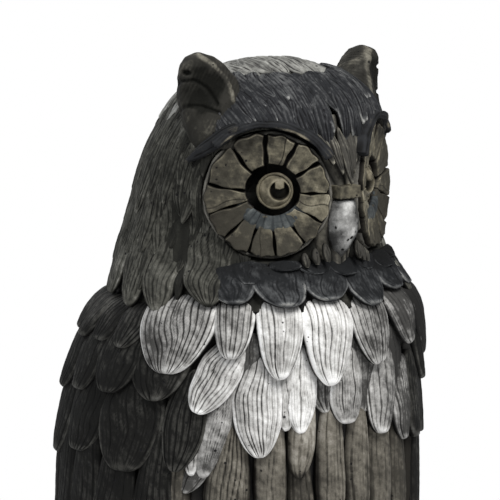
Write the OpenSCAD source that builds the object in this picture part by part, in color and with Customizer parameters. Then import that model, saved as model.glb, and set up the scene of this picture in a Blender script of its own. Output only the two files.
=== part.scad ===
// Owl figurine: hollow body and head castings that carry separately made
// leaf feathers, facial discs, ears, beak, feet and a rock plinth.
// +Z is up, the owl's breast faces -Y, its left wing is on +X, and the
// origin is at the middle of the resting face.

/* [Overall] */
// Height from the resting face to the ear tips
total_h = 384; // [300:2:460]
// Turn of the head about the neck, towards the owl's left
head_turn = 8; // [0:1:15]
// Wall of the hollow castings
wall = 7; // [5:0.5:10]

/* [Feathers] */
// Thickness of an applied leaf feather
leaf_t = 3.2; // [2.4:0.1:4]
// How far a feather's tip stands off the core
tip_lift = 3.4; // [2.5:0.1:4.5]
// How unevenly the feathers are laid, 0 is regular
unevenness = 1; // [0:0.1:1.3]

/* [Face] */
// Radius of the ring of tiles round each eye
disc_r = 28.5; // [26:0.5:30]
// Number of tiles in each facial disc
tile_count = 12; // [8:1:14]
// Angle that each disc turns away from straight ahead
disc_yaw = 38; // [32:1:42]
// Radius of the eyeball
eye_r = 8.4; // [7:0.1:9]

/* [Base] */
// Radius of the rock plinth at the floor
plinth_r = 66; // [60:1:74]
// Height of the plinth under the body
plinth_h = 27; // [24:1:32]
// How far the felt's edge lies inside the plinth's edge
felt_inset = 6; // [5:0.5:9]

/* [Hidden] */
design_h = 384;
size_k = total_h / design_h;
stone = [0.17, 0.17, 0.17];
black = [0.09, 0.10, 0.12];
bronze = [0.45, 0.40, 0.31];
silver = [0.74, 0.74, 0.73];
taupe = [0.42, 0.39, 0.34];
felt = [0.10, 0.10, 0.10];

// Cores as [height, half width, half depth, middle's Y], under the feathers.
body_core = [
    [26, 50, 47, 2], [60, 58, 55, 3], [100, 67, 62, 4], [140, 73, 67.5, 5], [180, 76.5, 70.5, 5],
    [205, 77.3, 71, 3.5], [224, 77, 71, 1], [242, 75, 69.5, -2.4], [256, 72, 67, -6],
    [266, 68, 64, -9], [276, 62.5, 59.5, -11], [288, 54, 52, -12], [303, 46, 45, -13]
];
head_core = [
    [268, 66, 64, 6], [278, 63.5, 62, 8.5], [287, 60, 59, 10.5], [296, 58, 57, 11], [305, 55.5, 54.5, 9.5],
    [314.5, 54, 53, 8], [323.6, 53, 51.5, 6.5], [333, 52, 50.5, 4], [337, 51, 50, 3],
    [346, 49.5, 48, -1.5], [355, 45, 44, -3], [362, 40.5, 37, -3], [367, 35, 30, -2], [371, 27, 22, -1],
    [374.5, 13, 10, 1]
];
neck_y = -22;          // the head turns about this line
skirt_z = 271.5;       // lower edge of the head casting
shoulder_z = 270;      // flat top of the body casting
collar_r = 46;
collar_z = [262, 300];
disc_side = 30.8;      // disc middle's distance from the face's mid plane
disc_front = 38.7;     // disc face's distance ahead of the neck line
disc_z = 321.5;
tile_t = 5;
disc_t = 11;
beak_front = 53.5;
beak_z = [293, 319];
cere_z = 322.8;
wing_front = 44;       // where the wing's front edge lies round the body, in degrees
wing_back = 146;
foot_side = 27;
sheet_t = 1.5;
facets = 28;
stations = [0, 0.3, 0.6, 0.85, 0.96, 1];

// ---- numbers: smooth tables and repeatable unevenness ----

// Catmull-Rom through column c of a table whose column 0 rises.
function smooth(tab, z, c) =
    let (
        last = len(tab) - 1,
        k = max(0, min(last - 1, len([for (r = tab) if (r[0] <= z) 1]) - 1)),
        t = (z - tab[k][0]) / (tab[k + 1][0] - tab[k][0]),
        p0 = tab[max(0, k - 1)][c], p1 = tab[k][c], p2 = tab[k + 1][c], p3 = tab[min(last, k + 2)][c]
    )
    0.5 * (2 * p1 + (p2 - p0) * t + (2 * p0 - 5 * p1 + 4 * p2 - p3) * t * t
        + (3 * p1 - p0 - 3 * p2 + p3) * t * t * t);

// A number from -1 to 1 that depends only on n.
function wob(n) = let (v = sin(n * 127.1) * 4375.85) unevenness * ((v - floor(v)) * 2 - 1);

function unit(v) = v / norm(v);
function mix(a, b, t) = a + (b - a) * t;

// A point on a core: phi is 0 at the breast and grows towards the owl's left.
function on_core(tab, phi, z) = [
    smooth(tab, z, 1) * sin(phi),
    smooth(tab, z, 3) - smooth(tab, z, 2) * cos(phi),
    z
];
function core_normal(tab, phi, z) =
    let (e = z > tab[len(tab) - 1][0] - 1 ? -0.5 : 0.5)
    unit(cross(on_core(tab, phi + 2, z) - on_core(tab, phi - 2, z),
        (on_core(tab, phi, z + e) - on_core(tab, phi, z)) * sign(e)));
function off_core(tab, phi, z, off) = on_core(tab, phi, z) + off * core_normal(tab, phi, z);
function core_radius(tab, z) = (smooth(tab, z, 1) + smooth(tab, z, 2)) / 2;

// ---- solids from rings of points ----

// Rings run anticlockwise seen from the last one. A looped solid has no ends:
// its last ring joins its first.
module ring_solid(rings, looped = false) {
    n = len(rings[0]);
    m = len(rings);
    polyhedron(
        points = [for (r = rings) for (p = r) p],
        faces = concat(
            looped ? [] : end_faces(0, n, false),
            looped ? [] : end_faces((m - 1) * n, n, true),
            [for (k = [0:m - (looped ? 1 : 2)]) for (i = [0:n - 1])
                [k * n + i, (k + 1) % m * n + i, k * n + (i + 1) % n]],
            [for (k = [0:m - (looped ? 1 : 2)]) for (i = [0:n - 1])
                [k * n + (i + 1) % n, (k + 1) % m * n + i, (k + 1) % m * n + (i + 1) % n]]
        )
    );
}

// Triangles that close one end, zipped from side to side.
function end_faces(first, n, flip) = [
    for (i = [0:ceil(n / 2) - 2])
        for (f = concat(
            [[i, i + 1, n - 1 - i]],
            i + 1 < n - 2 - i ? [[i + 1, n - 2 - i, n - 1 - i]] : []
        ))
            flip ? [first + f[2], first + f[1], first + f[0]] : [first + f[0], first + f[1], first + f[2]]
];

// A horizontal ring round a core, moved in by inset.
function core_ring(tab, z, inset) = [
    for (i = [0:facets - 1])
        let (phi = 360 * i / facets)
        [(smooth(tab, z, 1) - inset) * sin(phi), smooth(tab, z, 3) - (smooth(tab, z, 2) - inset) * cos(phi), z]
];

// A round bar along a path, with a radius at each point.
module bar(path, radii, sides = 8) {
    ring_solid([
        for (k = [0:len(path) - 1])
            let (
                along = unit(path[min(k + 1, len(path) - 1)] - path[max(k - 1, 0)]),
                across = unit(cross(along, [0.1, 0.2, 1])),
                up = cross(across, along)
            )
            [for (i = [0:sides - 1])
                path[k] + radii[k] * (across * cos(360 * i / sides) - up * sin(360 * i / sides))]
    ]);
}

// Half width of a leaf along its length, 1 at its widest.
function leaf_outline(s) =
    s < 0.45 ? 1 - 0.34 * pow((0.45 - s) / 0.45, 2)
             : pow(max(0, 1 - pow((s - 0.45) / 0.56, 2.3)), 0.75);

// One leaf feather on a core, from its root at [phi, z] to its tip.
// lifts are how far its underside stands off at root and tip.
module leaf(tab, root, tip, w, widest, t, lifts, bend) {
    ring_solid([
        for (s = stations)
            let (
                z = mix(root[1], tip[1], pow(s, bend)),
                phi = mix(root[0], tip[0], s),
                half = max(0.09, leaf_outline(s)) * w / 2,
                deg = min(half / core_radius(tab, z) * 57.3, widest / 2 * max(0.09, leaf_outline(s))),
                low = mix(lifts[0], lifts[1], s * s * (1.6 - 0.6 * s)),
                high = low + t * (s > 0.95 ? 0.55 : 1)
            )
            [
                off_core(tab, phi - deg, z, low + t * 0.25),
                off_core(tab, phi - deg * 0.5, z, high - t * 0.1),
                off_core(tab, phi, z, high + 0.5),
                off_core(tab, phi + deg * 0.5, z, high - t * 0.1),
                off_core(tab, phi + deg, z, low + t * 0.25),
                off_core(tab, phi, z, low)
            ]
    ]);
}

// A row of leaves between two angles, each leaf clear of its neighbours.
// drop lowers the tips at the row's ends and lean turns them outwards.
module course(tab, from, to, count, top, bottom, seed, drop = 0, lean = 0,
              t = leaf_t, lifts = [-0.6, tip_lift], fill = 0.86, bend = 1) {
    step = (to - from) / (count - 1);
    w = fill * abs(step) * core_radius(tab, mix(top, bottom, 0.5)) / 57.3;
    for (i = [0:count - 1]) {
        phi = from + step * (i + wob(seed + i) * 0.03);
        side = abs(2 * i / (count - 1) - 1);
        tip_z = bottom - drop * side * side + wob(seed + i * 3 + 7) * 2.2;
        leaf(tab,
            [phi, top - drop * side * side * 0.6],
            [phi + lean * sign(phi) + wob(seed + i * 5 + 3) * step * 0.05, tip_z],
            w * (1 + 0.03 * wob(seed + i * 2 + 1)), fill * abs(step), t, lifts, bend);
    }
}

module in_head() {
    translate([0, neck_y, 0]) rotate([0, 0, head_turn]) children();
}

// Puts a piece, drawn face up round the origin, on the owl's left facial disc.
module on_left_disc(height = 0) {
    in_head()
        translate([disc_side, -disc_front, disc_z])
            rotate([0, 0, disc_yaw])
                rotate([90, 0, 0])
                    translate([0, 0, height]) children();
}
module on_right_disc(height = 0) {
    in_head() mirror([1, 0, 0])
        translate([disc_side, -disc_front, disc_z])
            rotate([0, 0, disc_yaw])
                rotate([90, 0, 0])
                    translate([0, 0, height]) children();
}

// ---- base ----

module rock_plinth() color(stone) translate([0, 0, sheet_t])
    difference() {
        rotate_extrude($fn = 72)
            polygon([
                [0, 0], [plinth_r - 4, 0], [plinth_r, 4], [plinth_r - 2, 13], [plinth_r - 7, 21],
                [plinth_r - 12, plinth_h - sheet_t - 1], [plinth_r - 15, plinth_h - sheet_t],
                [0, plinth_h - sheet_t]
            ]);
        translate([0, 0, -1]) cylinder(r = plinth_r - 12, h = 5, $fn = 72);
        cylinder(r = plinth_r - 22, h = 16, $fn = 72);
    }

module felt_sheet() color(felt)
    cylinder(r = plinth_r - felt_inset, h = sheet_t, $fn = 72);

// ---- castings ----

// The shoulders turn in to a flat flange that carries the neck collar.
module body_casting() color(stone)
    ring_solid(concat(
        [for (z = [plinth_h, 50, 80, 110, 140, 170, 200, 225, 245, 260, shoulder_z]) core_ring(body_core, z, 0)],
        [core_ring(body_core, shoulder_z + 0.4, 18), core_ring(body_core, shoulder_z - wall, 18)],
        [for (z = [258, 245, 225, 200, 160, 110, 60, plinth_h]) core_ring(body_core, z, wall)]
    ), true);

module neck_collar() color(stone)
    translate([0, smooth(body_core, shoulder_z, 3), collar_z[0]])
        difference() {
            cylinder(r = collar_r, h = collar_z[1] - collar_z[0], $fn = 72);
            translate([0, 0, -1]) cylinder(r = collar_r - wall, h = 50, $fn = 72);
        }

// Open underneath, with a domed hollow that stops a wall short of the crown.
module head_casting() color(stone) in_head()
    ring_solid(concat(
        [core_ring(head_core, 366, 20)],
        [for (z = [362, 352, 338, 318, 298, skirt_z]) core_ring(head_core, z, z > 360 ? 12 : wall)],
        [for (z = [skirt_z, 282, 293, 305, 316, 327, 337, 346, 352, 358, 363, 367, 370, 372.5, 374.5])
            core_ring(head_core, z, 0)]
    ));

// ---- wings ----

module wing_blade(side) color(black)
    ring_solid([
        for (z = [262, 246, 225, 200, 170, 140, 110, 84, 66])
            let (
                s = (262 - z) / (262 - 66),
                front = wing_front + 8 + 52 * s * s,
                back = wing_back - 14 + 10 * s,
                t = 3.4 * (1 - 0.35 * s)
            )
            concat(
                [for (i = [0:8]) off_core(body_core, side * mix(front, back, side > 0 ? i / 8 : 1 - i / 8), z, -0.8)],
                [for (i = [0:8])
                    let (u = side > 0 ? 1 - i / 8 : i / 8)
                    off_core(body_core, mix(front, back, u) * side, z, t * (0.35 + 0.65 * sin(180 * u)))]
            )
    ]);

module left_wing_blade() wing_blade(1);
module right_wing_blade() wing_blade(-1);

// Coverts and flight feathers of one wing. side is 1 for the owl's left.
module shoulder_coverts(side) color(black)
    course(body_core, side * (wing_front + 11), side * 142, 7, 272, 253, 100 + side * 10, 0, 0,
        leaf_t, [0, tip_lift + 1.4]);
module median_coverts(side) color(black)
    course(body_core, side * (wing_front + 6), side * 144, 8, 260, 231, 130 + side * 10, 0, 0,
        leaf_t, [2, tip_lift + 2]);
module greater_coverts(side) color(black)
    course(body_core, side * (wing_front + 2), side * 146, 8, 238, 200, 160 + side * 10, 0, 2,
        leaf_t, [1.8, tip_lift + 2.2]);
module secondaries(side) color(black)
    course(body_core, side * (wing_front + 10), side * 146, 8, 210, 140, 190 + side * 10, 0, 6,
        leaf_t, [1.6, tip_lift + 2.2]);
module primaries(side) color(black)
    course(body_core, side * (wing_front + 28), side * 150, 8, 152, 76, 220 + side * 10, 8, 10,
        leaf_t, [1.2, tip_lift + 1.2]);

module left_shoulder_coverts() shoulder_coverts(1);
module right_shoulder_coverts() shoulder_coverts(-1);
module left_median_coverts() median_coverts(1);
module right_median_coverts() median_coverts(-1);
module left_greater_coverts() greater_coverts(1);
module right_greater_coverts() greater_coverts(-1);
module left_secondaries() secondaries(1);
module right_secondaries() secondaries(-1);
module left_primaries() primaries(1);
module right_primaries() primaries(-1);

// ---- breast, belly and back ----

module ruff_upper() color(black) in_head()
    course(head_core, -62, 44, 9, 299, 283.5, 10, 0, 0, 2.4, [-0.4, 2]);
module ruff_lower() color(black) in_head()
    course(head_core, -56, 50, 10, 289, 272, 20, 0, 0, 2.6, [0, 2.4]);
module breast_course_1() color(silver) course(body_core, -51, 51, 7, 271, 240, 30, -2);
module breast_course_2() color(silver) course(body_core, -42.5, 42.5, 6, 252, 210, 40, 0);
module breast_course_3() color(taupe) course(body_core, -46, 46, 9, 224, 160, 50, 4, 0, leaf_t, [-0.6, 2.8]);
module belly_course_1() color(taupe) course(body_core, -50, 50, 9, 178, 118, 60, 0, 0, leaf_t, [-0.6, 2.8]);
module belly_course_2() color(taupe) course(body_core, -48, 48, 8, 134, 78, 70, 4, 0, leaf_t, [-0.6, 2.6]);
module mantle_course_1() color(black) course(body_core, 157, 203, 3, 270, 244, 80);
module mantle_course_2() color(black) course(body_core, 150, 210, 4, 256, 212, 84);
module mantle_course_3() color(black) course(body_core, 155, 205, 3, 226, 172, 90);
module rump_course() color(black) course(body_core, 151, 209, 4, 184, 124, 94);

// Tail feathers run down the back of the body and end behind the plinth.
module tail_feathers() color(black)
    for (i = [-3:3]) {
        spread = [for (s = stations) i * mix(8.8, 10.4, s)];
        ring_solid([
            for (k = [0:len(stations) - 1])
                let (
                    s = stations[k],
                    half = 4.4 * min(1, 0.3 + 2.4 * (1 - s)),
                    p = [spread[k], mix(71, 77, sin(90 * s)) - abs(i) * 2.1, mix(140, 16 + abs(i) * 3, s)]
                )
                [
                    p + [half, -1.6, 0], p + [half * 0.5, 1, 0], p + [0, 1.6, 0],
                    p + [-half * 0.5, 1, 0], p + [-half, -1.6, 0], p + [0, -3, 0]
                ]
        ]);
    }

// ---- legs and feet ----

module leg_feathers(side) color(taupe)
    course(body_core, side * 11, side * 53, 4, 92, 38, 240 + side * 10, 0, 0, leaf_t, [0, 3.4]);
module left_leg_feathers() leg_feathers(1);
module right_leg_feathers() leg_feathers(-1);

// The path of one front toe over the plinth's edge.
function toe_path(side, splay) = [
    for (s = [0, 0.3, 0.6, 0.85, 1])
        let (reach = mix(40, 64, s))
        [side * foot_side + sin(splay * side) * (reach - 20), -cos(splay * side) * reach, mix(33, 29, s) + 4 * sin(180 * s)]
];
toe_splays = [-24, 3, 30];

module toes(side) color(stone)
    for (a = toe_splays) bar(toe_path(side, a), [5.2, 5.8, 5.2, 5.4, 4.2]);
module left_toes() toes(1);
module right_toes() toes(-1);

module talons(side) color(black)
    for (a = toe_splays) {
        end = toe_path(side, a)[4];
        out = [sin(a * side), -cos(a * side), 0];
        bar([end - out, end + out * 3.4 + [0, 0, 0.5], end + out * 6 - [0, 0, 3], end + out * 7 - [0, 0, 8.5]],
            [3.2, 2.9, 2, 0.7]);
    }
module left_talons() talons(1);
module right_talons() talons(-1);

// ---- feathers of the head ----

module nape_upper() color(stone) in_head()
    course(head_core, 84, 276, 11, 350, 300, 300, 0, 0, 2.4, [-0.6, 1.2]);
module nape_lower() color(stone) in_head()
    course(head_core, 70, 290, 13, 318, 266, 330, 0, 0, 2.4, [0.4, 2.2]);
module cheek_strands() color(stone) in_head()
    for (side = [-1, 1])
        course(head_core, side * 52, side * 74, 3, 316, 278, 360 + side * 10, 0, 6, 2.4, [0, 2]);

module crown_strands() color(black) in_head()
    course(head_core, 118, 242, 8, 373, 345, 400, 0, 0, 2.2, [-0.4, 1], 0.8, 1.8);

// Strands fan from the crown over the forehead to the brows.
module forehead_strands() color(black) in_head()
    course(head_core, -57, 57, 8, 373, 351, 420, 0, 0, 2.2, [-0.4, 1.4], 0.8, 1.8);

// Pointed strands between the discs, from the forehead to the cere.
module frown_strands() color(black) in_head()
    for (i = [-2:2])
        ring_solid([
            for (s = stations)
                let (
                    half = 2.2 * max(0.12, leaf_outline(s)),
                    p = [mix(i * 6.6, i * 3, s), -mix(45, 57, sin(90 * s)) + abs(i) * mix(1.2, 2.6, s), mix(357, 327 + abs(i) * 4, s)],
                    out = unit([i * 0.15, -mix(0.6, 1, s), mix(0.8, 0.15, s)])
                )
                [
                    p + [-half, 0, 0] + out * 0.3, p + [-half * 0.5, 0, 0] + out * 1.6, p + out * 2,
                    p + [half * 0.5, 0, 0] + out * 1.6, p + [half, 0, 0] + out * 0.3, p - out
                ]
        ]);

module chin_bristles() color(taupe) in_head()
    for (side = [-1, 1]) for (i = [0:2])
        bar([[side * (8.4 + i * 4), -52 + i * 2.4, 300 - i * 2], [side * (9 + i * 4.1), -53.2 + i * 2.2, 295 - i * 1.4],
             [side * (9.4 + i * 4.2), -51.6 + i * 2, 289 - i]], [1.3, 1.6, 0.6], 6);

// ---- ears, brows, beak ----

// An ear tuft is a fat horn that leans outwards, cupped on its outer front.
module ear_tuft(side) color(stone) in_head()
    ring_solid([
        for (s = [0, 0.25, 0.5, 0.7, 0.85, 0.95, 1])
            let (
                mid = [side * mix(35, 47, s), mix(-15, -8.5, s), mix(342, side > 0 ? 382 : 384, pow(s, 0.9))],
                wide = 1.4 + 15.6 * sqrt(max(0, 1 - pow(s, 2.2))),
                deep = 1.2 + 11.8 * sqrt(max(0, 1 - pow(s, 2.4))),
                cup = 3.6 * sin(180 * min(1, s * 1.1)),
                across = [cos(38), side * sin(38), 0],
                front = [side * sin(38), -cos(38), 0]
            )
            [for (i = [0:13])
                let (a = 360 * i / 14, v = sin(a))
                mid + across * wide * cos(a) - front * (v > 0 ? deep * v : (deep - cup * -v) * v)]
    ]);
module left_ear_tuft() ear_tuft(1);
module right_ear_tuft() ear_tuft(-1);

// The brow is a raised rim over the upper part of the disc.
module brow() color(bronze)
    rotate([0, 0, 44]) rotate_extrude(angle = 104, $fn = 64)
        translate([disc_r + 1.4, 0]) polygon([[0, -10], [4.6, -10], [4.4, -3.4], [3.2, -1.4], [1, -0.8], [0, -2]]);
module left_brow() on_left_disc() brow();
module right_brow() on_right_disc() brow();

// The wedge between the discs, which carries the cere and beak.
module nose_bridge() color(black) in_head()
    ring_solid([
        for (s = [0, 0.25, 0.5, 0.75, 1])
            let (z = mix(290, 356, s), front = mix(52, 47, s) + 5.5 * sin(180 * s), half = mix(6.5, 9, s))
            [[-half - 8, -36, z], [-half, -front + 3.4, z], [0, -front, z], [half, -front + 3.4, z], [half + 8, -36, z]]
    ]);

module cere() color(bronze) in_head()
    translate([-7.2, -beak_front - 5, cere_z - 2.9]) cube([14.4, 8, 5.8]);

module beak() color(silver) in_head()
    ring_solid([
        for (s = [0, 0.12, 0.35, 0.6, 0.82, 0.95, 1])
            let (
                z = mix(beak_z[0], beak_z[1], 1 - s),
                half = 8 * (s < 0.35 ? 0.72 + 0.28 * sin(90 * s / 0.35) : max(0.16, cos(90 * pow((s - 0.35) / 0.66, 1.35)))),
                deep = 6 * (s < 0.4 ? 0.55 + 0.45 * sin(90 * s / 0.4) : max(0.2, cos(84 * pow((s - 0.4) / 0.6, 1.8))))
            )
            [for (i = [0:9])
                let (a = 36 * i)
                [half * cos(a), -beak_front + (sin(a) > 0 ? -deep : -5) * sin(a) + 3 * s * s, z]]
    ]);

// ---- facial discs and eyes, drawn face up ----

eye_at = [-2.4, 2.2];  // the eye sits a little inwards and up on the left disc

// The dish behind the tiles, with a round well for the eye.
module disc_base() color(stone)
    difference() {
        translate([0, 0, -disc_t - tile_t]) cylinder(r = disc_r - 0.8, h = disc_t + 0.6, $fn = 64);
        translate([eye_at[0], eye_at[1], -tile_t - 5]) cylinder(r = eye_r + 3, h = 12, $fn = 48);
    }

// The angle of the gap before tile i. The tiles above the eye are the widest.
function gap_at(i) =
    let (t = i / tile_count)
    11 + 360 * t + 18 * sin(180 * sqrt(t)) + (i > 0 && i < tile_count ? 1.5 * wob(500 + i) : 0);

module disc_tiles() color(bronze)
    for (i = [0:tile_count - 1])
        let (
            from = gap_at(i) + 2,
            to = gap_at(i + 1) - 2,
            mid = (from + to) / 2,
            under_eye = mid > 190 && mid < 352,
            low = under_eye ? 14 : 10,
            rim = disc_r * (1 + 0.018 * wob(520 + i))
        )
        difference() {
            translate([0, 0, -tile_t + 0.65]) linear_extrude(tile_t - 0.65)
                polygon([
                    [low * cos(from + 2), low * sin(from + 2)],
                    [rim * 0.98 * cos(from), rim * 0.98 * sin(from)],
                    [rim * cos(mid), rim * sin(mid)],
                    [rim * 0.98 * cos(to), rim * 0.98 * sin(to)],
                    [low * cos(to - 2), low * sin(to - 2)]
                ]);
            translate([eye_at[0], eye_at[1], -tile_t - 5])
                cylinder(r = eye_r + (under_eye ? 9.2 : 3.6), h = 12, $fn = 48);
        }

// A thick crescent under the eye, between the groove and the lower tiles.
module lower_lid() color(taupe)
    translate([eye_at[0], eye_at[1], -tile_t + 0.65])
        rotate([0, 0, 200]) rotate_extrude(angle = 142, $fn = 48)
            translate([eye_r + 3.2, 0]) polygon([[0, 0], [5.2, 0], [5, 2.8], [2.6, 4], [0.3, 3]]);

module eye_rim() color(bronze)
    translate([eye_at[0], eye_at[1], -tile_t])
        rotate_extrude($fn = 48)
            polygon([[eye_r - 0.7, -1], [eye_r + 0.8, -1], [eye_r + 0.6, 2.2], [eye_r, 2.9], [eye_r - 0.6, 2.2]]);

module eye() color(bronze)
    translate([eye_at[0], eye_at[1], 0])
        difference() {
            union() {
                translate([0, 0, -tile_t - 5]) cylinder(r = eye_r - 0.8, h = 5, $fn = 48);
                intersection() {
                    translate([0, 0, -tile_t - 5]) sphere(r = eye_r + 1.8, $fn = 64);
                    translate([0, 0, -tile_t]) cylinder(r = eye_r - 0.8, h = 6, $fn = 48);
                }
            }
            translate([0.6, 0.4, -tile_t + 2.6]) cylinder(r = eye_r * 0.5, h = 8, $fn = 32);
        }

module left_disc_base() on_left_disc() disc_base();
module right_disc_base() on_right_disc() disc_base();
module left_disc_tiles() on_left_disc() disc_tiles();
module right_disc_tiles() on_right_disc() disc_tiles();
module left_lower_lid() on_left_disc() lower_lid();
module right_lower_lid() on_right_disc() lower_lid();
module left_eye_rim() on_left_disc() eye_rim();
module right_eye_rim() on_right_disc() eye_rim();
module left_eye() on_left_disc() eye();
module right_eye() on_right_disc() eye();

// ---- assembly ----

scale(size_k) {
    rock_plinth();
    felt_sheet();
    body_casting();
    neck_collar();
    head_casting();
    left_wing_blade();
    right_wing_blade();
    ruff_upper();
    ruff_lower();
    breast_course_1();
    breast_course_2();
    breast_course_3();
    belly_course_1();
    belly_course_2();
    left_shoulder_coverts();
    right_shoulder_coverts();
    left_median_coverts();
    right_median_coverts();
    left_greater_coverts();
    right_greater_coverts();
    left_secondaries();
    right_secondaries();
    left_primaries();
    right_primaries();
    mantle_course_1();
    mantle_course_2();
    mantle_course_3();
    rump_course();
    tail_feathers();
    left_leg_feathers();
    right_leg_feathers();
    left_toes();
    right_toes();
    left_talons();
    right_talons();
    nape_upper();
    nape_lower();
    cheek_strands();
    crown_strands();
    forehead_strands();
    frown_strands();
    chin_bristles();
    left_ear_tuft();
    right_ear_tuft();
    left_brow();
    right_brow();
    nose_bridge();
    cere();
    beak();
    left_disc_base();
    right_disc_base();
    left_disc_tiles();
    right_disc_tiles();
    left_lower_lid();
    right_lower_lid();
    left_eye_rim();
    right_eye_rim();
    left_eye();
    right_eye();
}
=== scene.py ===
import math

import bpy
import numpy as np
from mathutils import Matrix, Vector


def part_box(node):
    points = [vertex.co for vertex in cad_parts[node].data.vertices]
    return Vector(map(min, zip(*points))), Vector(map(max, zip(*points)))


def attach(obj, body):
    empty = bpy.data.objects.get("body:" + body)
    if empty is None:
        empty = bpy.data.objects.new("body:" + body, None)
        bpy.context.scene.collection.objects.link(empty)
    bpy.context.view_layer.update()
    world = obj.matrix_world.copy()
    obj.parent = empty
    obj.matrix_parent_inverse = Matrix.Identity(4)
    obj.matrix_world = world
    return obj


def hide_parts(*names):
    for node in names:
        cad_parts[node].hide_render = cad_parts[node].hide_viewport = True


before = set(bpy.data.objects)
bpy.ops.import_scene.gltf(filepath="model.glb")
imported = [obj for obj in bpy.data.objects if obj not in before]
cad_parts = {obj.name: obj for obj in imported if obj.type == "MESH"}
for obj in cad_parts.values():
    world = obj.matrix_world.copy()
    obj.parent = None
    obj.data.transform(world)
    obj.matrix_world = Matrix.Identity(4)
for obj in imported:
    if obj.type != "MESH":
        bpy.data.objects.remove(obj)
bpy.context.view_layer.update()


# ==== Rock plinth ====
# The plinth is a low boulder cast with the figure. Its sides are broken into soft
# flats and it is painted charcoal, with taupe rubbed over what stands up.

MM = 0.001


def smooth_step(low, high, x):
    """0 below low, 1 above high, and an easy curve between them."""
    t = np.clip((x - low) / (high - low), 0.0, 1.0)
    return t * t * (3 - 2 * t)


def lumps(p, size, seed, layers=3):
    """A soft unevenness from -1 to 1 over points p, with bumps about size across."""
    rng = np.random.default_rng(seed)
    total = np.zeros(len(p))
    reach = 0.0
    for k in range(layers):
        weight = 0.55 ** k
        for _ in range(5):
            way = rng.normal(size=3)
            way *= math.tau / (size * 1.9 * np.linalg.norm(way)) * 1.9 ** k * rng.uniform(0.7, 1.3)
            total += weight * np.sin(p @ way + rng.uniform(0, math.tau))
        reach += weight * 2.6
    return np.clip(total / reach, -1, 1)


class Clay:
    """Modelled pieces that are gathered into one mesh, with the marks the paint follows."""

    def __init__(self):
        self.points, self.quads, self.tris, self.ridge, self.load = [], [], [], [], []
        self.count = 0

    def add(self, points, quads=None, tris=None, ridge=0.5, load=0.5):
        """Adds closed clay, with its faces turned outwards."""
        n = len(points)
        volume = 0.0
        middle = points - points.mean(0)
        for faces in (quads, tris):
            if faces is not None and len(faces):
                for k in range(1, faces.shape[1] - 1):
                    a, b, c = middle[faces[:, 0]], middle[faces[:, k]], middle[faces[:, k + 1]]
                    volume += (a * np.cross(b, c)).sum()
        if volume < 0:
            quads = None if quads is None else quads[:, ::-1]
            tris = None if tris is None or not len(tris) else tris[:, ::-1]
        self.points.append(points)
        for kept, faces, corners in ((self.quads, quads, 4), (self.tris, tris, 3)):
            if faces is not None and len(faces):
                kept.append(np.asarray(faces, np.int64).reshape(-1, corners) + self.count)
        self.ridge.append(np.broadcast_to(np.asarray(ridge, float), n))
        self.load.append(np.broadcast_to(np.asarray(load, float), n))
        self.count += n

    def grid(self, points, ridge, load, wrap=False, caps=True):
        """Adds points laid out as [row, column, xyz]. wrap joins the last column to the first."""
        rows, cols = points.shape[:2]
        i = np.arange(rows * cols).reshape(rows, cols)
        j = np.concatenate([i, i[:, :1]], 1) if wrap else i
        quads = np.stack([j[:-1, :-1], j[:-1, 1:], j[1:, 1:], j[1:, :-1]], -1).reshape(-1, 4)
        flat = points.reshape(-1, 3)
        ridge, load = (np.broadcast_to(mark, (rows, cols)).ravel() for mark in (ridge, load))
        tris = []
        if wrap and caps:
            ends = np.stack([points[0].mean(0), points[-1].mean(0)])
            flat = np.concatenate([flat, ends])
            ridge = np.concatenate([ridge, [ridge[0], ridge[-1]]])
            load = np.concatenate([load, [load[0], load[-1]]])
            a, b = rows * cols, rows * cols + 1
            first, last = j[0], j[-1]
            tris = np.concatenate([
                np.stack([np.full(cols, a), first[1:], first[:-1]], -1),
                np.stack([np.full(cols, b), last[:-1], last[1:]], -1),
            ])
        self.add(flat, quads, tris, ridge, load)

    def make(self, name, material, stands_for, slot):
        """Makes the Blender piece, painted, riding on the body and standing for its CAD nodes."""
        points = np.concatenate(self.points)
        quads = np.concatenate(self.quads) if self.quads else np.zeros((0, 4), np.int64)
        tris = np.concatenate(self.tris) if self.tris else np.zeros((0, 3), np.int64)
        mesh = bpy.data.meshes.new(name)
        mesh.vertices.add(len(points))
        mesh.vertices.foreach_set("co", points.astype(np.float32).ravel())
        corners = np.concatenate([quads.ravel(), tris.ravel()])
        starts = np.concatenate([
            np.arange(len(quads)) * 4, len(quads) * 4 + np.arange(len(tris)) * 3
        ])
        mesh.loops.add(len(corners))
        mesh.loops.foreach_set("vertex_index", corners.astype(np.int32))
        mesh.polygons.add(len(starts))
        mesh.polygons.foreach_set("loop_start", starts.astype(np.int32))
        mesh.polygons.foreach_set("use_smooth", np.ones(len(starts), bool))
        mesh.update(calc_edges=True)
        mesh.validate()
        for mark, values in (("ridge", self.ridge), ("load", self.load)):
            layer = mesh.attributes.new(mark, "FLOAT", "POINT")
            layer.data.foreach_set("value", np.concatenate(values).astype(np.float32))
        mesh.materials.append(material)
        piece = bpy.data.objects.new(name, mesh)
        bpy.context.scene.collection.objects.link(piece)
        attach(piece, "root")
        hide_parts(*stands_for)
        return piece


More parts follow.
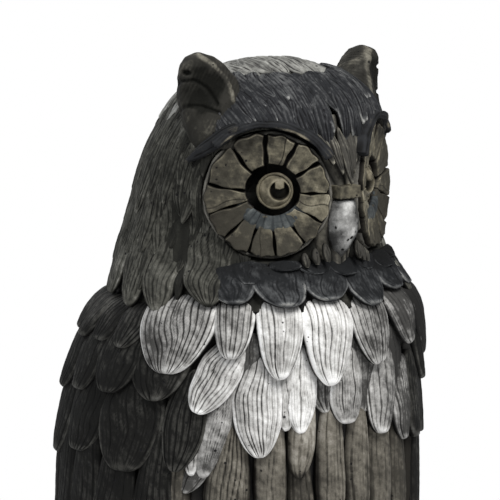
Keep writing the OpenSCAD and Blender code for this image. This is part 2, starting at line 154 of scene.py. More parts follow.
def stone_paint(name, wash, body, brush, glint, pits=0.5, rough=0.66, grain=1.0):
    """Matt casting paint: wash in the hollows, body colour, and two dry-brush colours on what
    stands up. It follows the ridge mark, and the load mark says how much brush there is."""
    paint = bpy.data.materials.new(name)
    paint.use_nodes = True
    nodes, links = paint.node_tree.nodes, paint.node_tree.links
    nodes.clear()

    def node(kind, **settings):
        made = nodes.new("ShaderNode" + kind)
        for key, value in settings.items():
            if key.startswith("in_"):
                made.inputs[key[3:].replace("_", " ")].default_value = value
            else:
                setattr(made, key, value)
        return made

    def put(value, socket):
        if isinstance(value, (int, float, tuple)):
            socket.default_value = value
        else:
            links.new(value, socket)

    def calc(how, a, b=0.0, c=0.0, clamp=False):
        made = node("Math", operation=how, use_clamp=clamp)
        for value, socket in zip((a, b, c), made.inputs):
            put(value, socket)
        return made.outputs[0]

    def ramp(value, low, high):
        made = node("MapRange", interpolation_type="SMOOTHSTEP", clamp=True)
        put(value, made.inputs["Value"])
        made.inputs["From Min"].default_value = low
        made.inputs["From Max"].default_value = high
        return made.outputs["Result"]

    def blend(share, a, b):
        made = node("Mix", data_type="RGBA")
        put(share, made.inputs[0])
        for value, socket in ((a, made.inputs[6]), (b, made.inputs[7])):
            put((*value, 1.0) if isinstance(value, tuple) else value, socket)
        return made.outputs[2]

    def noise(scale, detail, coarse=0.55):
        made = node("TexNoise", in_Scale=scale, in_Detail=detail, in_Roughness=coarse)
        links.new(where.outputs["Object"], made.inputs["Vector"])
        return made.outputs["Fac"]

    where = node("TexCoord")
    ridge = node("Attribute", attribute_name="ridge").outputs["Fac"]
    load = node("Attribute", attribute_name="load").outputs["Fac"]
    patches, speckle, dust = noise(55.0, 3.0), noise(620.0, 5.0, 0.7), noise(2300.0, 2.0)

    # The brush catches what stands up and has load, unevenly.
    uneven = calc("ADD", calc("MULTIPLY_ADD", speckle, 0.7, -0.35),
                  calc("MULTIPLY_ADD", patches, 0.7, -0.35))
    dry = calc("ADD", calc("MULTIPLY_ADD", ridge, 1.15, -1.05), calc("ADD", load, uneven))
    washed = calc("MULTIPLY", ramp(calc("MULTIPLY_ADD", uneven, 0.25, ridge), 0.10, 0.62),
                  calc("MULTIPLY_ADD", ramp(load, 0.0, 0.3), 0.8, 0.2))
    brushed = ramp(dry, 0.0, 0.62)
    shining = ramp(dry, 0.42, 1.15)
    colour = blend(washed, wash, body)
    colour = blend(brushed, colour, brush)
    colour = blend(shining, colour, glint)
    colour = blend(calc("MULTIPLY", ramp(dust, 0.35, 0.75), 0.16), colour, wash)

    # Bubble pits, in some patches and not in others.
    cells = node("TexVoronoi", feature="F1", in_Scale=520.0, in_Randomness=1.0)
    links.new(where.outputs["Object"], cells.inputs["Vector"])
    picked = node("SeparateColor")
    links.new(cells.outputs["Color"], picked.inputs[0])
    size = calc("MULTIPLY", ramp(picked.outputs[0], 1.0 - 0.34 * pits, 1.0), 0.42)
    size = calc("MULTIPLY", size, ramp(patches, 0.38, 0.56))
    pit = calc("SUBTRACT", 1.0,
               ramp(calc("DIVIDE", cells.outputs["Distance"], calc("ADD", size, 0.001)), 0.55, 1.0))
    colour = blend(calc("MULTIPLY", pit, 0.93), colour, (0.006, 0.006, 0.007))

    height = calc("ADD", calc("MULTIPLY", speckle, 0.34 * grain),
                  calc("MULTIPLY", dust, 0.10 * grain))
    height = calc("SUBTRACT", height, calc("MULTIPLY", pit, 0.55))
    bump = node("Bump", in_Strength=0.75, in_Distance=0.0009)
    links.new(height, bump.inputs["Height"])

    shader = node("BsdfPrincipled", in_IOR=1.46, in_Specular_IOR_Level=0.12)
    links.new(colour, shader.inputs["Base Color"])
    links.new(calc("SUBTRACT", rough + 0.1, calc("MULTIPLY", brushed, 0.2), clamp=True),
              shader.inputs["Roughness"])
    links.new(bump.outputs[0], shader.inputs["Normal"])
    out = node("OutputMaterial")
    links.new(shader.outputs[0], out.inputs["Surface"])
    return paint


low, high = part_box("rock_plinth")
plinth_middle = (low + high) / 2
plinth_r = (high.x - low.x) / 2
plinth_top = high.z
rock_paint = stone_paint("rock_paint", (0.012, 0.012, 0.012), (0.045, 0.043, 0.040),
                         (0.23, 0.21, 0.18), (0.42, 0.40, 0.36), pits=0.8)
rock = Clay()
turns = np.linspace(0, math.tau, 220, endpoint=False)
climb = np.linspace(0, 1, 64)
corner = [0, 0.06, 0.3, 0.55, 0.68, 0.8, 1.0]
side_r = np.interp(climb, corner, [0.93, 0.985, 1.0, 0.90, 0.80, 0.70, 0.02])
side_z = np.interp(climb, corner, [0.0, 0.08, 0.42, 0.80, 0.97, 1.0, 1.0])
grid_r, grid_t = np.meshgrid(side_r * plinth_r, turns, indexing="ij")
grid_z = np.repeat((low.z + side_z * (high.z - low.z))[:, None], len(turns), 1)
flats = np.stack([grid_r * np.sin(grid_t), -grid_r * np.cos(grid_t), grid_z], -1)
rough_rock = lumps(flats.reshape(-1, 3), 28 * MM, 5, 4).reshape(grid_z.shape)
chips = lumps(flats.reshape(-1, 3), 7 * MM, 6, 3).reshape(grid_z.shape)
steps = np.round(rough_rock * 3.2) / 3.2
relief = (0.55 * steps + 0.45 * rough_rock) * 3.6 * MM + chips * 0.5 * MM
fade = smooth_step(0.0, 0.08, climb)[:, None]
deepest, least = 2.6 * MM, 2.0 * MM
sunk = 1 - (deepest - np.minimum(relief, deepest)) / plinth_r * fade
flats[..., 0] = plinth_middle.x + flats[..., 0] * sunk
flats[..., 1] = plinth_middle.y + flats[..., 1] * sunk
flats[..., 2] += np.clip(relief * 0.35, -least, 0.8 * MM) * smooth_step(0.5, 0.75, climb)[:, None]
rock.grid(flats, 0.45 + 0.5 * rough_rock + 0.3 * chips, 0.42, wrap=True)
rock.make("rock_plinth_modelled", rock_paint, ["rock_plinth"], "charcoal")


# ==== Felt under the plinth ====
# A disc of black felt is glued under the plinth, so that the stone doesn't scratch a shelf.
# It was cut from sheet felt, and its cut edge is a little soft.

felt_paint = bpy.data.materials.new("felt_nap")
felt_paint.use_nodes = True
felt_nodes, felt_links = felt_paint.node_tree.nodes, felt_paint.node_tree.links
felt_shader = felt_nodes["Principled BSDF"]
felt_shader.inputs["Roughness"].default_value = 0.95
felt_shader.inputs["Sheen Weight"].default_value = 0.4
felt_fibre = felt_nodes.new("ShaderNodeTexNoise")
felt_fibre.inputs["Scale"].default_value = 900.0
felt_fibre.inputs["Detail"].default_value = 6.0
felt_where = felt_nodes.new("ShaderNodeTexCoord")
felt_links.new(felt_where.outputs["Object"], felt_fibre.inputs["Vector"])
felt_tint = felt_nodes.new("ShaderNodeValToRGB")
felt_tint.color_ramp.elements[0].color = (0.006, 0.006, 0.006, 1)
felt_tint.color_ramp.elements[1].color = (0.035, 0.035, 0.036, 1)
felt_links.new(felt_fibre.outputs["Fac"], felt_tint.inputs[0])
felt_links.new(felt_tint.outputs[0], felt_shader.inputs["Base Color"])
felt_bump = felt_nodes.new("ShaderNodeBump")
felt_bump.inputs["Distance"].default_value = 0.0004
felt_links.new(felt_fibre.outputs["Fac"], felt_bump.inputs["Height"])
felt_links.new(felt_bump.outputs[0], felt_shader.inputs["Normal"])
low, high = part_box("felt_sheet")
felt_r = (high.x - low.x) / 2
across = np.concatenate([np.linspace(0.01, 0.985, 60), [0.993, 0.998, 1.0, 1.0, 0.998, 0.993],
                         np.linspace(0.985, 0.01, 60)])
up = np.concatenate([np.ones(60), [0.97, 0.85, 0.6, 0.4, 0.15, 0.03], np.zeros(60)])
turns = np.linspace(0, math.tau, 240, endpoint=False)
grid_r, grid_t = np.meshgrid(across * felt_r, turns, indexing="ij")
felt_points = np.stack([(low.x + high.x) / 2 + grid_r * np.sin(grid_t),
                        (low.y + high.y) / 2 - grid_r * np.cos(grid_t),
                        low.z + np.repeat(up[:, None], 240, 1) * (high.z - low.z)], -1)
nap = lumps(felt_points.reshape(-1, 3), 4 * MM, 8).reshape(grid_r.shape)
felt_points[..., 2] -= 0.05 * MM * (1 + nap) * (up > 0.5)[:, None]
felt = Clay()
felt.grid(felt_points, 0.5, 0.5, wrap=True)
felt_piece = felt.make("felt_disc", felt_paint, ["felt_sheet"], "felt")


# ==== Body casting and neck collar ====
# The body is a hollow casting that the feathers are bonded to. Little of it shows: a dark,
# hand-smoothed skin at the bottom of the gaps. The collar inside the head is plain stone.


def mesh_arrays(node):
    """A CAD node's points and edges, with doubled points joined."""
    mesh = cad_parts[node].data
    points = np.empty(len(mesh.vertices) * 3)
    mesh.vertices.foreach_get("co", points)
    edges = np.empty(len(mesh.edges) * 2, np.int64)
    mesh.edges.foreach_get("vertices", edges)
    kept, index = np.unique(np.round(points.reshape(-1, 3), 6), axis=0, return_inverse=True)
    return kept, index.ravel()[edges.reshape(-1, 2)]


class Core:
    """The smooth outside of a casting, measured from its CAD node. A place on it is an angle,
    0 at the breast and growing to the owl's left, and a length up its side from the foot."""

    def __init__(self, node, turn=0.0, pivot=(0.0, 0.0)):
        self.cos, self.sin, self.pivot = math.cos(turn), math.sin(turn), np.array(pivot)
        points, edges = mesh_arrays(node)
        x, y, z = self.to_own(points).T
        start, end = z[edges[:, 0]], z[edges[:, 1]]
        levels = np.arange(z.min() + 0.2 * MM, z.max() - 0.1 * MM, 0.5 * MM)
        found = []
        for level in levels:
            hit = (start - level) * (end - level) < 0
            share = ((level - start[hit]) / (end[hit] - start[hit]))
            xs = x[edges[hit, 0]] * (1 - share) + x[edges[hit, 1]] * share
            ys = y[edges[hit, 0]] * (1 - share) + y[edges[hit, 1]] * share
            found.append((xs.max(), (ys.max() - ys.min()) / 2, (ys.max() + ys.min()) / 2, level))
        found = np.array(found)
        steps = np.hypot(np.diff(found[:, :2].mean(1)), np.diff(found[:, 3]))
        along = np.concatenate([[0], np.cumsum(steps)])
        self.length = along[-1]
        self.l = np.arange(0, self.length, 1 * MM)
        self.table = np.stack([np.interp(self.l, along, found[:, k]) for k in range(4)])
        reach = 5  # millimetres over which the profile is evened
        kernel = np.exp(-0.5 * (np.arange(-3 * reach, 3 * reach + 1) / reach) ** 2)
        kernel /= kernel.sum()
        for k in range(4):
            row = self.table[k]
            ahead = 2 * row[0] - row[3 * reach:0:-1]
            behind = 2 * row[-1] - row[-2:-3 * reach - 2:-1]
            self.table[k] = np.convolve(np.concatenate([ahead, row, behind]), kernel, "valid")
        spare = 14  # millimetres that the profile is carried on past its ends
        slopes = ((self.table[:, 4] - self.table[:, 0]) / 4,
                  (self.table[:, -1] - self.table[:, -5]) / 4)
        below = self.table[:, :1] - slopes[0][:, None] * np.arange(spare, 0, -1)
        above = self.table[:, -1:] + slopes[1][:, None] * np.arange(1, spare + 1)
        open_top = self.table[0, -1] > 40 * MM  # it doesn't close to a crown
        ends = [below, self.table, above] if open_top else [below, self.table]
        self.table = np.concatenate(ends, 1)
        self.l = (np.arange(self.table.shape[1]) - spare) * MM
        self.table[:2] = np.maximum(self.table[:2], 0.5 * MM)

    def to_own(self, p):
        x, y = p[..., 0] - self.pivot[0], p[..., 1] - self.pivot[1]
        return np.stack([x * self.cos + y * self.sin, y * self.cos - x * self.sin, p[..., 2]], -1)

    def to_world(self, p):
        x = p[..., 0] * self.cos - p[..., 1] * self.sin + self.pivot[0]
        y = p[..., 0] * self.sin + p[..., 1] * self.cos + self.pivot[1]
        return np.stack([x, y, p[..., 2]], -1)

    def at(self, l):
        return [np.interp(l, self.l, row) for row in self.table]

    def point(self, phi, l, off):
        """The place at angle phi and length l, off metres out from the core."""
        a, b, middle, z = self.at(l)
        a2, b2, middle2, z2 = self.at(l + 1 * MM)
        a1, b1, middle1, z1 = self.at(l - 1 * MM)
        s, c = np.sin(phi), np.cos(phi)
        round_way = np.stack([a * c, b * s, np.zeros_like(s * z)], -1)
        up_way = np.stack([(a2 - a1) * s, (middle2 - middle1) - (b2 - b1) * c, (z2 - z1) + 0 * s],
                          -1)
        out = np.cross(round_way, up_way)
        out /= np.maximum(np.linalg.norm(out, axis=-1, keepdims=True), 1e-12)
        p = np.stack([a * s, middle - b * c, z + 0 * s], -1) + out * np.asarray(off)[..., None]
        return self.to_world(p)

    def radius(self, l):
        a, b, _, _ = self.at(l)
        return (a + b) / 2

    def find(self, p, off=2.5 * MM):
        """The angle and length of world points that lie about off out from the core."""
        own = self.to_own(np.atleast_2d(p))
        a, b, middle, z = self.table
        r = (a + b) / 2
        slope = np.stack([np.gradient(z), -np.gradient(r)])
        slope /= np.linalg.norm(slope, axis=0)
        far = np.hypot(own[:, :1], own[:, 1:2] - middle[None, :])
        side = np.abs(own[:, :1]) / np.maximum(far, 1e-9)
        edge = b[None] + (a - b)[None] * side ** 2
        gap = (edge + off * slope[0] - far) ** 2 + (z + off * slope[1] - own[:, 2:3]) ** 2
        l = self.l[np.argmin(gap, 1)]
        a, b, middle, _ = self.at(l)
        return np.arctan2(own[:, 0] / a, -(own[:, 1] - middle) / b), l


body = Core("body_casting")
gap_paint = stone_paint("gap_paint", (0.007, 0.007, 0.007), (0.022, 0.021, 0.020),
                        (0.10, 0.095, 0.085), (0.2, 0.19, 0.17), pits=0.7)
skin = Clay()
phi, l = np.meshgrid(np.linspace(0, math.tau, 260, endpoint=False),
                     np.linspace(0, body.length - 6 * MM, 170), indexing="xy")
place = body.point(phi, l, np.zeros_like(phi))
dents = lumps(place.reshape(-1, 3) * [1, 1, 0.4], 6 * MM, 11).reshape(phi.shape)
skin.grid(body.point(phi, l, -0.4 * MM + 0.5 * MM * dents), 0.4 + 0.4 * dents, 0.3, wrap=True)
skin.make("body_casting_skin", gap_paint, ["body_casting"], "charcoal")
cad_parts["neck_collar"].data.materials.clear()
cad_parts["neck_collar"].data.materials.append(gap_paint)


# ==== Belly feathers ====
# Long narrow leaves of clay hang down the belly in three courses. Each is a tapered blade,
# scored lengthwise with a tool and pressed on by its root, then brushed taupe.


def loose_parts(node):
    """The separate solids of a CAD node, as lists of points, from the owl's right to its left."""
    points, edges = mesh_arrays(node)
    group = np.arange(len(points))
    while True:
        least = np.minimum(group[edges[:, 0]], group[edges[:, 1]])
        new = group.copy()
        np.minimum.at(new, edges[:, 0], least)
        np.minimum.at(new, edges[:, 1], least)
        new = new[new]
        if (new == group).all():
            break
        group = new
    return [points[group == g] for g in np.unique(group)]


def wander(rng, x, size, turns=1.5):
    """A smooth seeded wave over x from 0 to 1, at most about size high."""
    total = 0
    for k in range(3):
        total = total + np.sin(math.tau * turns * (k * 0.8 + 0.6) * x * rng.uniform(0.7, 1.3)
                               + rng.uniform(0, math.tau)) / (k + 1.3)
    return size * total / 1.6


def leaf(clay, rng, place, width, length, thick=3.0 * MM, ribs=9, score=0.5 * MM, hairs=0.0,
         lift=(-1.5 * MM, 3.2 * MM), broad=0.45, point=0.62, crown=0.9 * MM, fine=0.45 * MM,
         root=0.55, load=0.5, roll=0.0, bow=0.0, lean=0.0, edge_light=0.3, line=0.26 * MM, dark=0.8,
         coarse=0.09 * MM):
    """Models one leaf feather. place(s, u, off) gives the world place s down its length, u metres
    to its side and off metres out. ribs scored lines and finer hairs run together to the tip.
    lift is how far its underside stands off at root and tip, broad where it is widest, root its
    share of the width at the top, point how blunt the tip is, crown the swell of its middle,
    fine the mesh, line a scored line's half width, and dark how black the lines are."""
    rows, cols = max(16, int(length / fine / 1.65)), max(11, int(width / fine))
    s = np.linspace(0, 1, rows) ** 0.8
    v = np.linspace(-1, 1, cols)
    v = 0.78 * v + 0.22 * np.sin(v * math.pi / 2)
    t = np.clip((s - broad) / (1 - broad), 0, 1)
    outline = np.where(s < broad,
                       root + (1 - root) * np.sin(np.minimum(s / broad, 1) * math.pi / 2),
                       np.maximum(1 - t ** 2.1, 0) ** point)
    outline = outline * np.sqrt(1 - (1 - np.clip(s / 0.09, 0, 1)) ** 2)
    half = width / 2 * np.maximum(outline * (1 + wander(rng, s, 0.05, 1.3)), 0.03)
    S, V = np.meshgrid(s, v, indexing="ij")
    H = half[:, None]
    middle = (bow * np.sin(s * math.pi) + lean * s ** 2 + wander(rng, s, 0.3 * MM, 0.8))[:, None]
    flow = wander(rng, S, 0.8, 0.9) + wander(rng, S + 0.3 * V, 0.35, 1.7)

    def lines(count, thin, least):
        """How deep the tool went: 1 in the middle of a line, 0 between lines."""
        at = count * (V + 1) / 2 + flow * (1 - V ** 2) * count / 9 + rng.uniform(0, 1)
        number = np.clip(np.floor(at).astype(int) + 2, 0, count + 5)
        force = rng.uniform(least, 1, count + 6)[number]
        begin = rng.uniform(-0.3, 0.3, count + 6)[number]
        stop = rng.uniform(0.8, 1.2, count + 6)[number]
        gap = np.abs(at - np.floor(at) - 0.5) * 2 * H / count
        spaced = smooth_step(0.25 * MM, 0.7 * MM, 2 * H / count)
        drawn = smooth_step(begin, begin + 0.1, S) * smooth_step(stop, stop - 0.1, S)
        return np.exp(-(gap / thin) ** 2) * force * drawn * spaced

    inner = smooth_step(1.0, 0.90, np.abs(V)) * smooth_step(1.0, 0.95, S)
    crease = lines(ribs, line, 0.25) * inner if ribs else 0 * S
    hair = lines(int(hairs), line * 0.7, 0.0) * inner if hairs else 0 * S
    round_edge = np.sqrt(np.maximum(1 - np.abs(V) ** 6, 0))
    end = np.clip((S - 0.95) / 0.05, 0, 1)
    round_tip = np.sqrt(np.maximum(1 - end ** 2, 0))
    under = lift[0] + (lift[1] - lift[0]) * S ** 1.2
    waves = wander(rng, S * 0.9 + 0.35 * V, 0.28 * MM, 1.1)
    skin_at = np.stack([S * length, V * H, np.full(S.shape, rng.uniform(0, 0.1))],
                       -1).reshape(-1, 3)
    grit = lumps(skin_at, 2.2 * MM, 9, 2).reshape(S.shape)
    rise = (thick + crown * (1 - V ** 2) * outline[:, None]) * round_edge * round_tip
    top = under + rise + waves * inner + roll * V * H
    top += (coarse * grit * round_tip - score * crease - 0.3 * score * hair) * round_edge
    upper = place(S, middle + V * H, top)
    keep = np.unique(np.linspace(1, cols - 2, 5).astype(int))[::-1]
    shelf = 0.96 * V[:, keep]
    lower = place(S[:, :len(keep)], middle + shelf * H, under[:, :len(keep)] + roll * shelf * H)
    rim = np.maximum(smooth_step(0.74, 0.9, np.abs(V)) * smooth_step(0.2, 0.6, S),
                     smooth_step(0.88, 0.95, S))
    wall = smooth_step(0.93, 1.0, np.abs(V))
    ridge = 0.78 + 0.1 * waves / (0.28 * MM) + 0.12 * grit - dark * crease - 0.32 * hair
    ridge += edge_light * rim * (1 - wall) - 0.75 * wall - 0.5 * end ** 3
    ridge = np.concatenate([np.clip(ridge, 0, 1.2), np.zeros((rows, len(keep)))], 1)
    amount = load(S, V) if callable(load) else np.full(S.shape, float(load))
    amount = np.concatenate([amount, np.zeros((rows, len(keep)))], 1)
    clay.grid(np.concatenate([upper, lower], 1), ridge, amount, wrap=True)


def lay_course(name, core, paint, slot, seed, wide=1.35, count=None, front=0.0, rows_up=4 * MM,
               rows_down=0.0, stagger=1.5 * MM, lean=0.08, load_at=None, end_width=1.0, clay=None,
               **look):
    """Models a course of leaves where the CAD node called name has its own. With a count, they
    are spread anew over the same stretch, less a share of it at the front. end_width widens the
    two end leaves, and load_at gives the brushing at an angle and a height."""
    rng = np.random.default_rng(seed)
    found = []
    for part in loose_parts(name):
        phi, l = core.find(part)
        top, tip = l.max(), l.min()
        ends = [np.exp(1j * phi[near]).mean() for near in (l > top - 3 * MM, l < tip + 2 * MM)]
        turn = np.angle(ends[0])
        to_tip = np.angle(ends[1] / ends[0])
        spread = np.abs(np.angle(np.exp(1j * phi) / ends[0]
                                 * np.exp(-1j * to_tip * (top - l) / (top - tip))))
        found.append((turn, to_tip, top, tip, 2 * (spread * core.radius(l)).max()))
    found = np.array(found)
    turns = found[:, 0]
    if np.ptp(np.abs(turns)) < np.ptp(turns) - 3:  # the course crosses the middle of the back
        found[:, 0] %= math.tau
    one_sided = np.ptp(np.sign(found[:, 0])) == 0
    found = found[np.argsort(np.abs(found[:, 0]) if one_sided else found[:, 0])]
    if count:
        at = np.linspace(front * (len(found) - 1), len(found) - 1, count)
        found = np.stack([np.interp(at, np.arange(len(found)), found[:, k]) for k in range(5)], 1)
        found[:, 4] *= at[1] - at[0]
    clay = clay or Clay()
    for k in rng.permutation(len(found)):
        turn_top, to_tip, top, tip, width = found[k]
        at_end = k in (0, len(found) - 1)
        width *= wide * rng.uniform(0.92, 1.1) * (end_width if at_end else 1)
        top = min(top + rows_up, core.l[-1] - 0.5 * MM)
        tip += rng.uniform(-1, 1) * stagger - rows_down

        def place(s, u, off, turn_top=turn_top, to_tip=to_tip, top=top, tip=tip):
            l_here = top + (tip - top) * s
            turn = turn_top + to_tip * s
            return core.point(turn + u / np.maximum(core.radius(l_here), 6 * MM), l_here, off)

        own = dict(look)
        if load_at:
            def load(s, v, turn_top=turn_top, to_tip=to_tip, top=top, tip=tip):
                turn = np.angle(np.exp(1j * (turn_top + to_tip * s)))
                return load_at(np.degrees(turn), core.at(top + (tip - top) * s)[3] / MM)
            own["load"] = load
        high, low = look.get("lift", (-1.5 * MM, 3.2 * MM))
        extra = (0.5 * MM if k % 2 else -0.5 * MM) + rng.uniform(-0.3, 0.3) * MM
        own["lift"] = (high, low + extra)
        own["score"] = look.get("score", 0.5 * MM) * rng.uniform(0.6, 1.15)
        own["point"] = look.get("point", 0.62) * rng.uniform(0.85, 1.2)
        own["roll"] = rng.uniform(-0.06, 0.06)
        own["bow"] = rng.uniform(-0.6, 0.6) * MM
        own["lean"] = rng.uniform(-1, 1) * lean * width
        leaf(clay, rng, place, width, top - tip, **own)
    return clay.make(name + "_modelled", paint, [name], slot)


def breast_load(phi, z):
    """How much silver the dry-brush left at an angle and height: most at the middle of the
    breast, less towards the wings and down the belly."""
    across = np.exp(-((phi + 9) / 31.0) ** 2) + 0.16 * np.exp(-((phi + 50) / 14.0) ** 2)
    down = 0.24 + 0.76 * smooth_step(192, 226, z)
    return (0.26 + 0.12 * smooth_step(62, 30, np.abs(phi + 10))
            + 0.50 * across * down) * smooth_step(54, 34, phi)


taupe_paint = stone_paint("taupe_paint", (0.007, 0.006, 0.005), (0.040, 0.037, 0.031),
                          (0.150, 0.138, 0.115), (0.42, 0.40, 0.36), pits=0.3)
belly_look = dict(ribs=4, score=0.4 * MM, hairs=9, thick=2.6 * MM, crown=3.0 * MM,
                  lift=(-1.6 * MM, 2.6 * MM), broad=0.5, point=0.6, root=0.6, dark=0.7,
                  edge_light=-0.4)
for course, seed in (("belly_course_2", 21), ("belly_course_1", 22)):
    lay_course(course, body, taupe_paint, "taupe_feather", seed, wide=1.22, stagger=4 * MM,
               lean=0.3, load_at=breast_load, **belly_look)


def up_the_side(core, z):
    """The length up a casting's side at height z in millimetres."""
    return float(np.interp(z * MM, core.table[3], core.l))


def strand(clay, rng, core, start, end, width, **look):
    """Lays a leaf along the skin from start to end, each an angle and a length up the side."""
    across, down = (end[0] - start[0]) * core.radius((start[1] + end[1]) / 2), end[1] - start[1]
    run = math.hypot(across, down)

    def place(s, u, off):
        l = start[1] + down * s + u * across / run
        radius = np.maximum(core.radius(l), 9 * MM)
        turn = start[0] + (end[0] - start[0]) * s - u * down / run / radius
        return core.point(turn, l, off)

    leaf(clay, rng, place, width, run, **look)


def hang(clay, rng, kind, top, tip, width, tint=0.0, **changes):
    """Hangs one leaf of a kind on the body from top to tip, each an angle in degrees and a
    height in millimetres. width is in millimetres, and tint adds brushing."""
    start, end = ((math.radians(turn), up_the_side(body, z)) for turn, z in (top, tip))
    half_turn = math.degrees(width * MM / 2 / body.radius(end[1]))

    def load(s, v):
        return tint + breast_load(top[0] + (tip[0] - top[0]) * s + half_turn * v,
                                  top[1] + (tip[1] - top[1]) * s)

    strand(clay, rng, body, start, end, width * MM, load=load, **{**kind, **changes})


rng = np.random.default_rng(23)
belly = Clay()
hang(belly, rng, belly_look, (-8, 208), (-5, 160), 13, -0.12, lift=(-1.6 * MM, -0.4 * MM))
hang(belly, rng, belly_look, (-49, 220), (-50, 159), 15)
hang(belly, rng, belly_look, (51, 222), (53, 158), 16)
hang(belly, rng, belly_look, (37, 220), (40, 160), 17)
hang(belly, rng, belly_look, (-31, 222), (-33, 160), 20, 0.04, ribs=9, lift=(-1.0 * MM, 3.2 * MM))
hang(belly, rng, belly_look, (-18, 226), (-17, 164), 15, 0.03, ribs=2)
hang(belly, rng, belly_look, (2.5, 230), (5, 160), 15, 0.03, ribs=2, lift=(-1.2 * MM, 3.4 * MM))
hang(belly, rng, belly_look, (14, 228), (16, 162), 15, ribs=2)
hang(belly, rng, belly_look, (25, 224), (27, 158), 17, ribs=1, lift=(-1.2 * MM, 3.4 * MM))
hang(belly, rng, belly_look, (-7, 234), (-9, 196), 13, 0.05, ribs=3, lift=(-0.6 * MM, 3.6 * MM))
belly.make("breast_course_3_modelled", taupe_paint, ["breast_course_3"], "taupe_feather")


# ==== Leg feathers ====
# Short thick leaves cover the legs and hang over the feet, and dark ones go on round the flank
# to the tail. They are made and painted like the belly's.

flank_leaf = dict(ribs=5, hairs=8, thick=2.4 * MM, lift=(-1.4 * MM, 1.6 * MM), fine=0.6 * MM,
                  root=0.8)
for side, seed in (("left", 26), ("right", 27)):
    rng = np.random.default_rng(seed + 2)
    flank = Clay()
    outward = 1 if side == "left" else -1
    for tip in (33, 50, 66):
        for turn in np.arange(66 + 6 * (tip == 50), 158, 12):
            turn = outward * (turn + rng.uniform(-2, 2))
            hang(flank, rng, flank_leaf, (turn, tip + 26),
                 (turn + rng.uniform(-3, 3), tip + rng.uniform(-2, 2)), 15, -0.16)
    lay_course(side + "_leg_feathers", body, taupe_paint, "taupe_feather", seed, ribs=6,
               thick=2.8 * MM, lift=(0.0, 3.2 * MM), fine=0.6 * MM, load=0.45, clay=flank)


# ==== Breast feathers ====
# Two courses of broad, thick leaves were pressed on one by one, the lower course first, with
# short dark leaves to fill its gaps. Each was scored with wavy lines that meet at its tip and
# undercut at its edge, then brushed bright silver over black.

silver_paint = stone_paint("silver_paint", (0.006, 0.006, 0.006), (0.050, 0.049, 0.047),
                           (0.36, 0.355, 0.345), (0.86, 0.86, 0.855), pits=0.25, rough=0.6)
broad_leaf = dict(ribs=10, score=0.6 * MM, hairs=14, thick=3.2 * MM, lift=(-1.2 * MM, 3.6 * MM),
                  broad=0.42, point=0.6, root=0.7, fine=0.32 * MM, line=0.2 * MM, dark=0.72,
                  crown=1.6 * MM)
rng = np.random.default_rng(31)
breast = Clay()
under_leaf = {**broad_leaf, "lift": (0.0, -0.6 * MM), "ribs": 5, "crown": 0.8 * MM}
hang(breast, rng, under_leaf, (-29, 262), (-29, 226), 22, -0.42)
hang(breast, rng, under_leaf, (-1, 262), (1, 224), 20, -0.42)
hang(breast, rng, under_leaf, (16, 262), (16, 222), 18, -0.36)
hang(breast, rng, under_leaf, (32, 262), (31, 218), 18, -0.30)
hang(breast, rng, broad_leaf, (-36, 214), (-46, 190), 12, -0.12, ribs=2, lift=(-1.4 * MM, 1.4 * MM))
hang(breast, rng, broad_leaf, (-34, 240), (-40, 197), 16, -0.12, ribs=1, lift=(-1.0 * MM, 1.8 * MM))
hang(breast, rng, broad_leaf, (-45, 236), (-43.5, 198), 11, 0.25, ribs=3,
     lift=(-1.0 * MM, 2.4 * MM))
hang(breast, rng, broad_leaf, (-16, 250), (-13.5, 218), 13, -0.16, ribs=4,
     lift=(-1.0 * MM, 1.6 * MM))
hang(breast, rng, broad_leaf, (51, 250), (54, 209), 19, -0.1)
hang(breast, rng, broad_leaf, (37, 246), (38, 206), 19, -0.06)
hang(breast, rng, broad_leaf, (26, 254), (23, 212), 21, -0.02, ribs=5, point=0.45)
hang(breast, rng, broad_leaf, (8, 254), (7, 219.5), 19, -0.14, ribs=3, score=0.35 * MM, point=0.45)
hang(breast, rng, broad_leaf, (-9.5, 256), (-9.5, 217), 15.5, 0.08, ribs=3, score=0.4 * MM)
hang(breast, rng, broad_leaf, (-25, 252), (-22, 207), 23, 0.02, ribs=12, root=0.4,
     lift=(0.0, 4.6 * MM))
hang(breast, rng, broad_leaf, (-33, 258), (-43, 227), 20, 0.16, lift=(0.0, 4.6 * MM), point=0.5)
breast.make("breast_course_2_modelled", silver_paint, ["breast_course_2"], "silver_feather")

upper_leaf = {**broad_leaf, "lift": (5.0 * MM, 4.6 * MM), "root": 1.05}
rng = np.random.default_rng(32)
breast = Clay()
hang(breast, rng, upper_leaf, (58, 284), (60, 240), 24, -0.14)
hang(breast, rng, upper_leaf, (32, 284), (40, 250), 23, -0.14)
hang(breast, rng, upper_leaf, (-37, 284), (-34, 251), 18.5, -0.08, ribs=7, point=0.45)
hang(breast, rng, upper_leaf, (-21, 284), (-17.5, 242), 20.5, 0.0, lift=(5.0 * MM, 5.6 * MM))
hang(breast, rng, upper_leaf, (13, 284), (19, 244.5), 23, -0.10, ribs=9)
hang(breast, rng, upper_leaf, (-3.5, 284), (-0.5, 238), 23.5, 0.04, lift=(5.0 * MM, 5.8 * MM))
hang(breast, rng, upper_leaf, (-56, 284), (-55, 243), 35, 0.05, ribs=15, point=0.5, score=0.8 * MM)
breast.make("breast_course_1_modelled", silver_paint, ["breast_course_1"], "silver_feather")


# ==== Wings ====
# Each wing is a raised panel on the body's side under five courses of feathers: short round
# coverts at the shoulder and long narrow ones below. They stay nearly black.

black_paint = stone_paint("black_paint", (0.0015, 0.0015, 0.0015), (0.007, 0.007, 0.0065),
                          (0.050, 0.049, 0.044), (0.22, 0.22, 0.21), pits=0.9)


def wing_load(phi, z):
    """A thin brushing on the wing, a little stronger at the shoulder and towards the breast."""
    return (0.24 + 0.22 * smooth_step(240, 275, z) * smooth_step(20, -40, phi)
            + 0.16 * smooth_step(62, 48, np.abs(phi)))


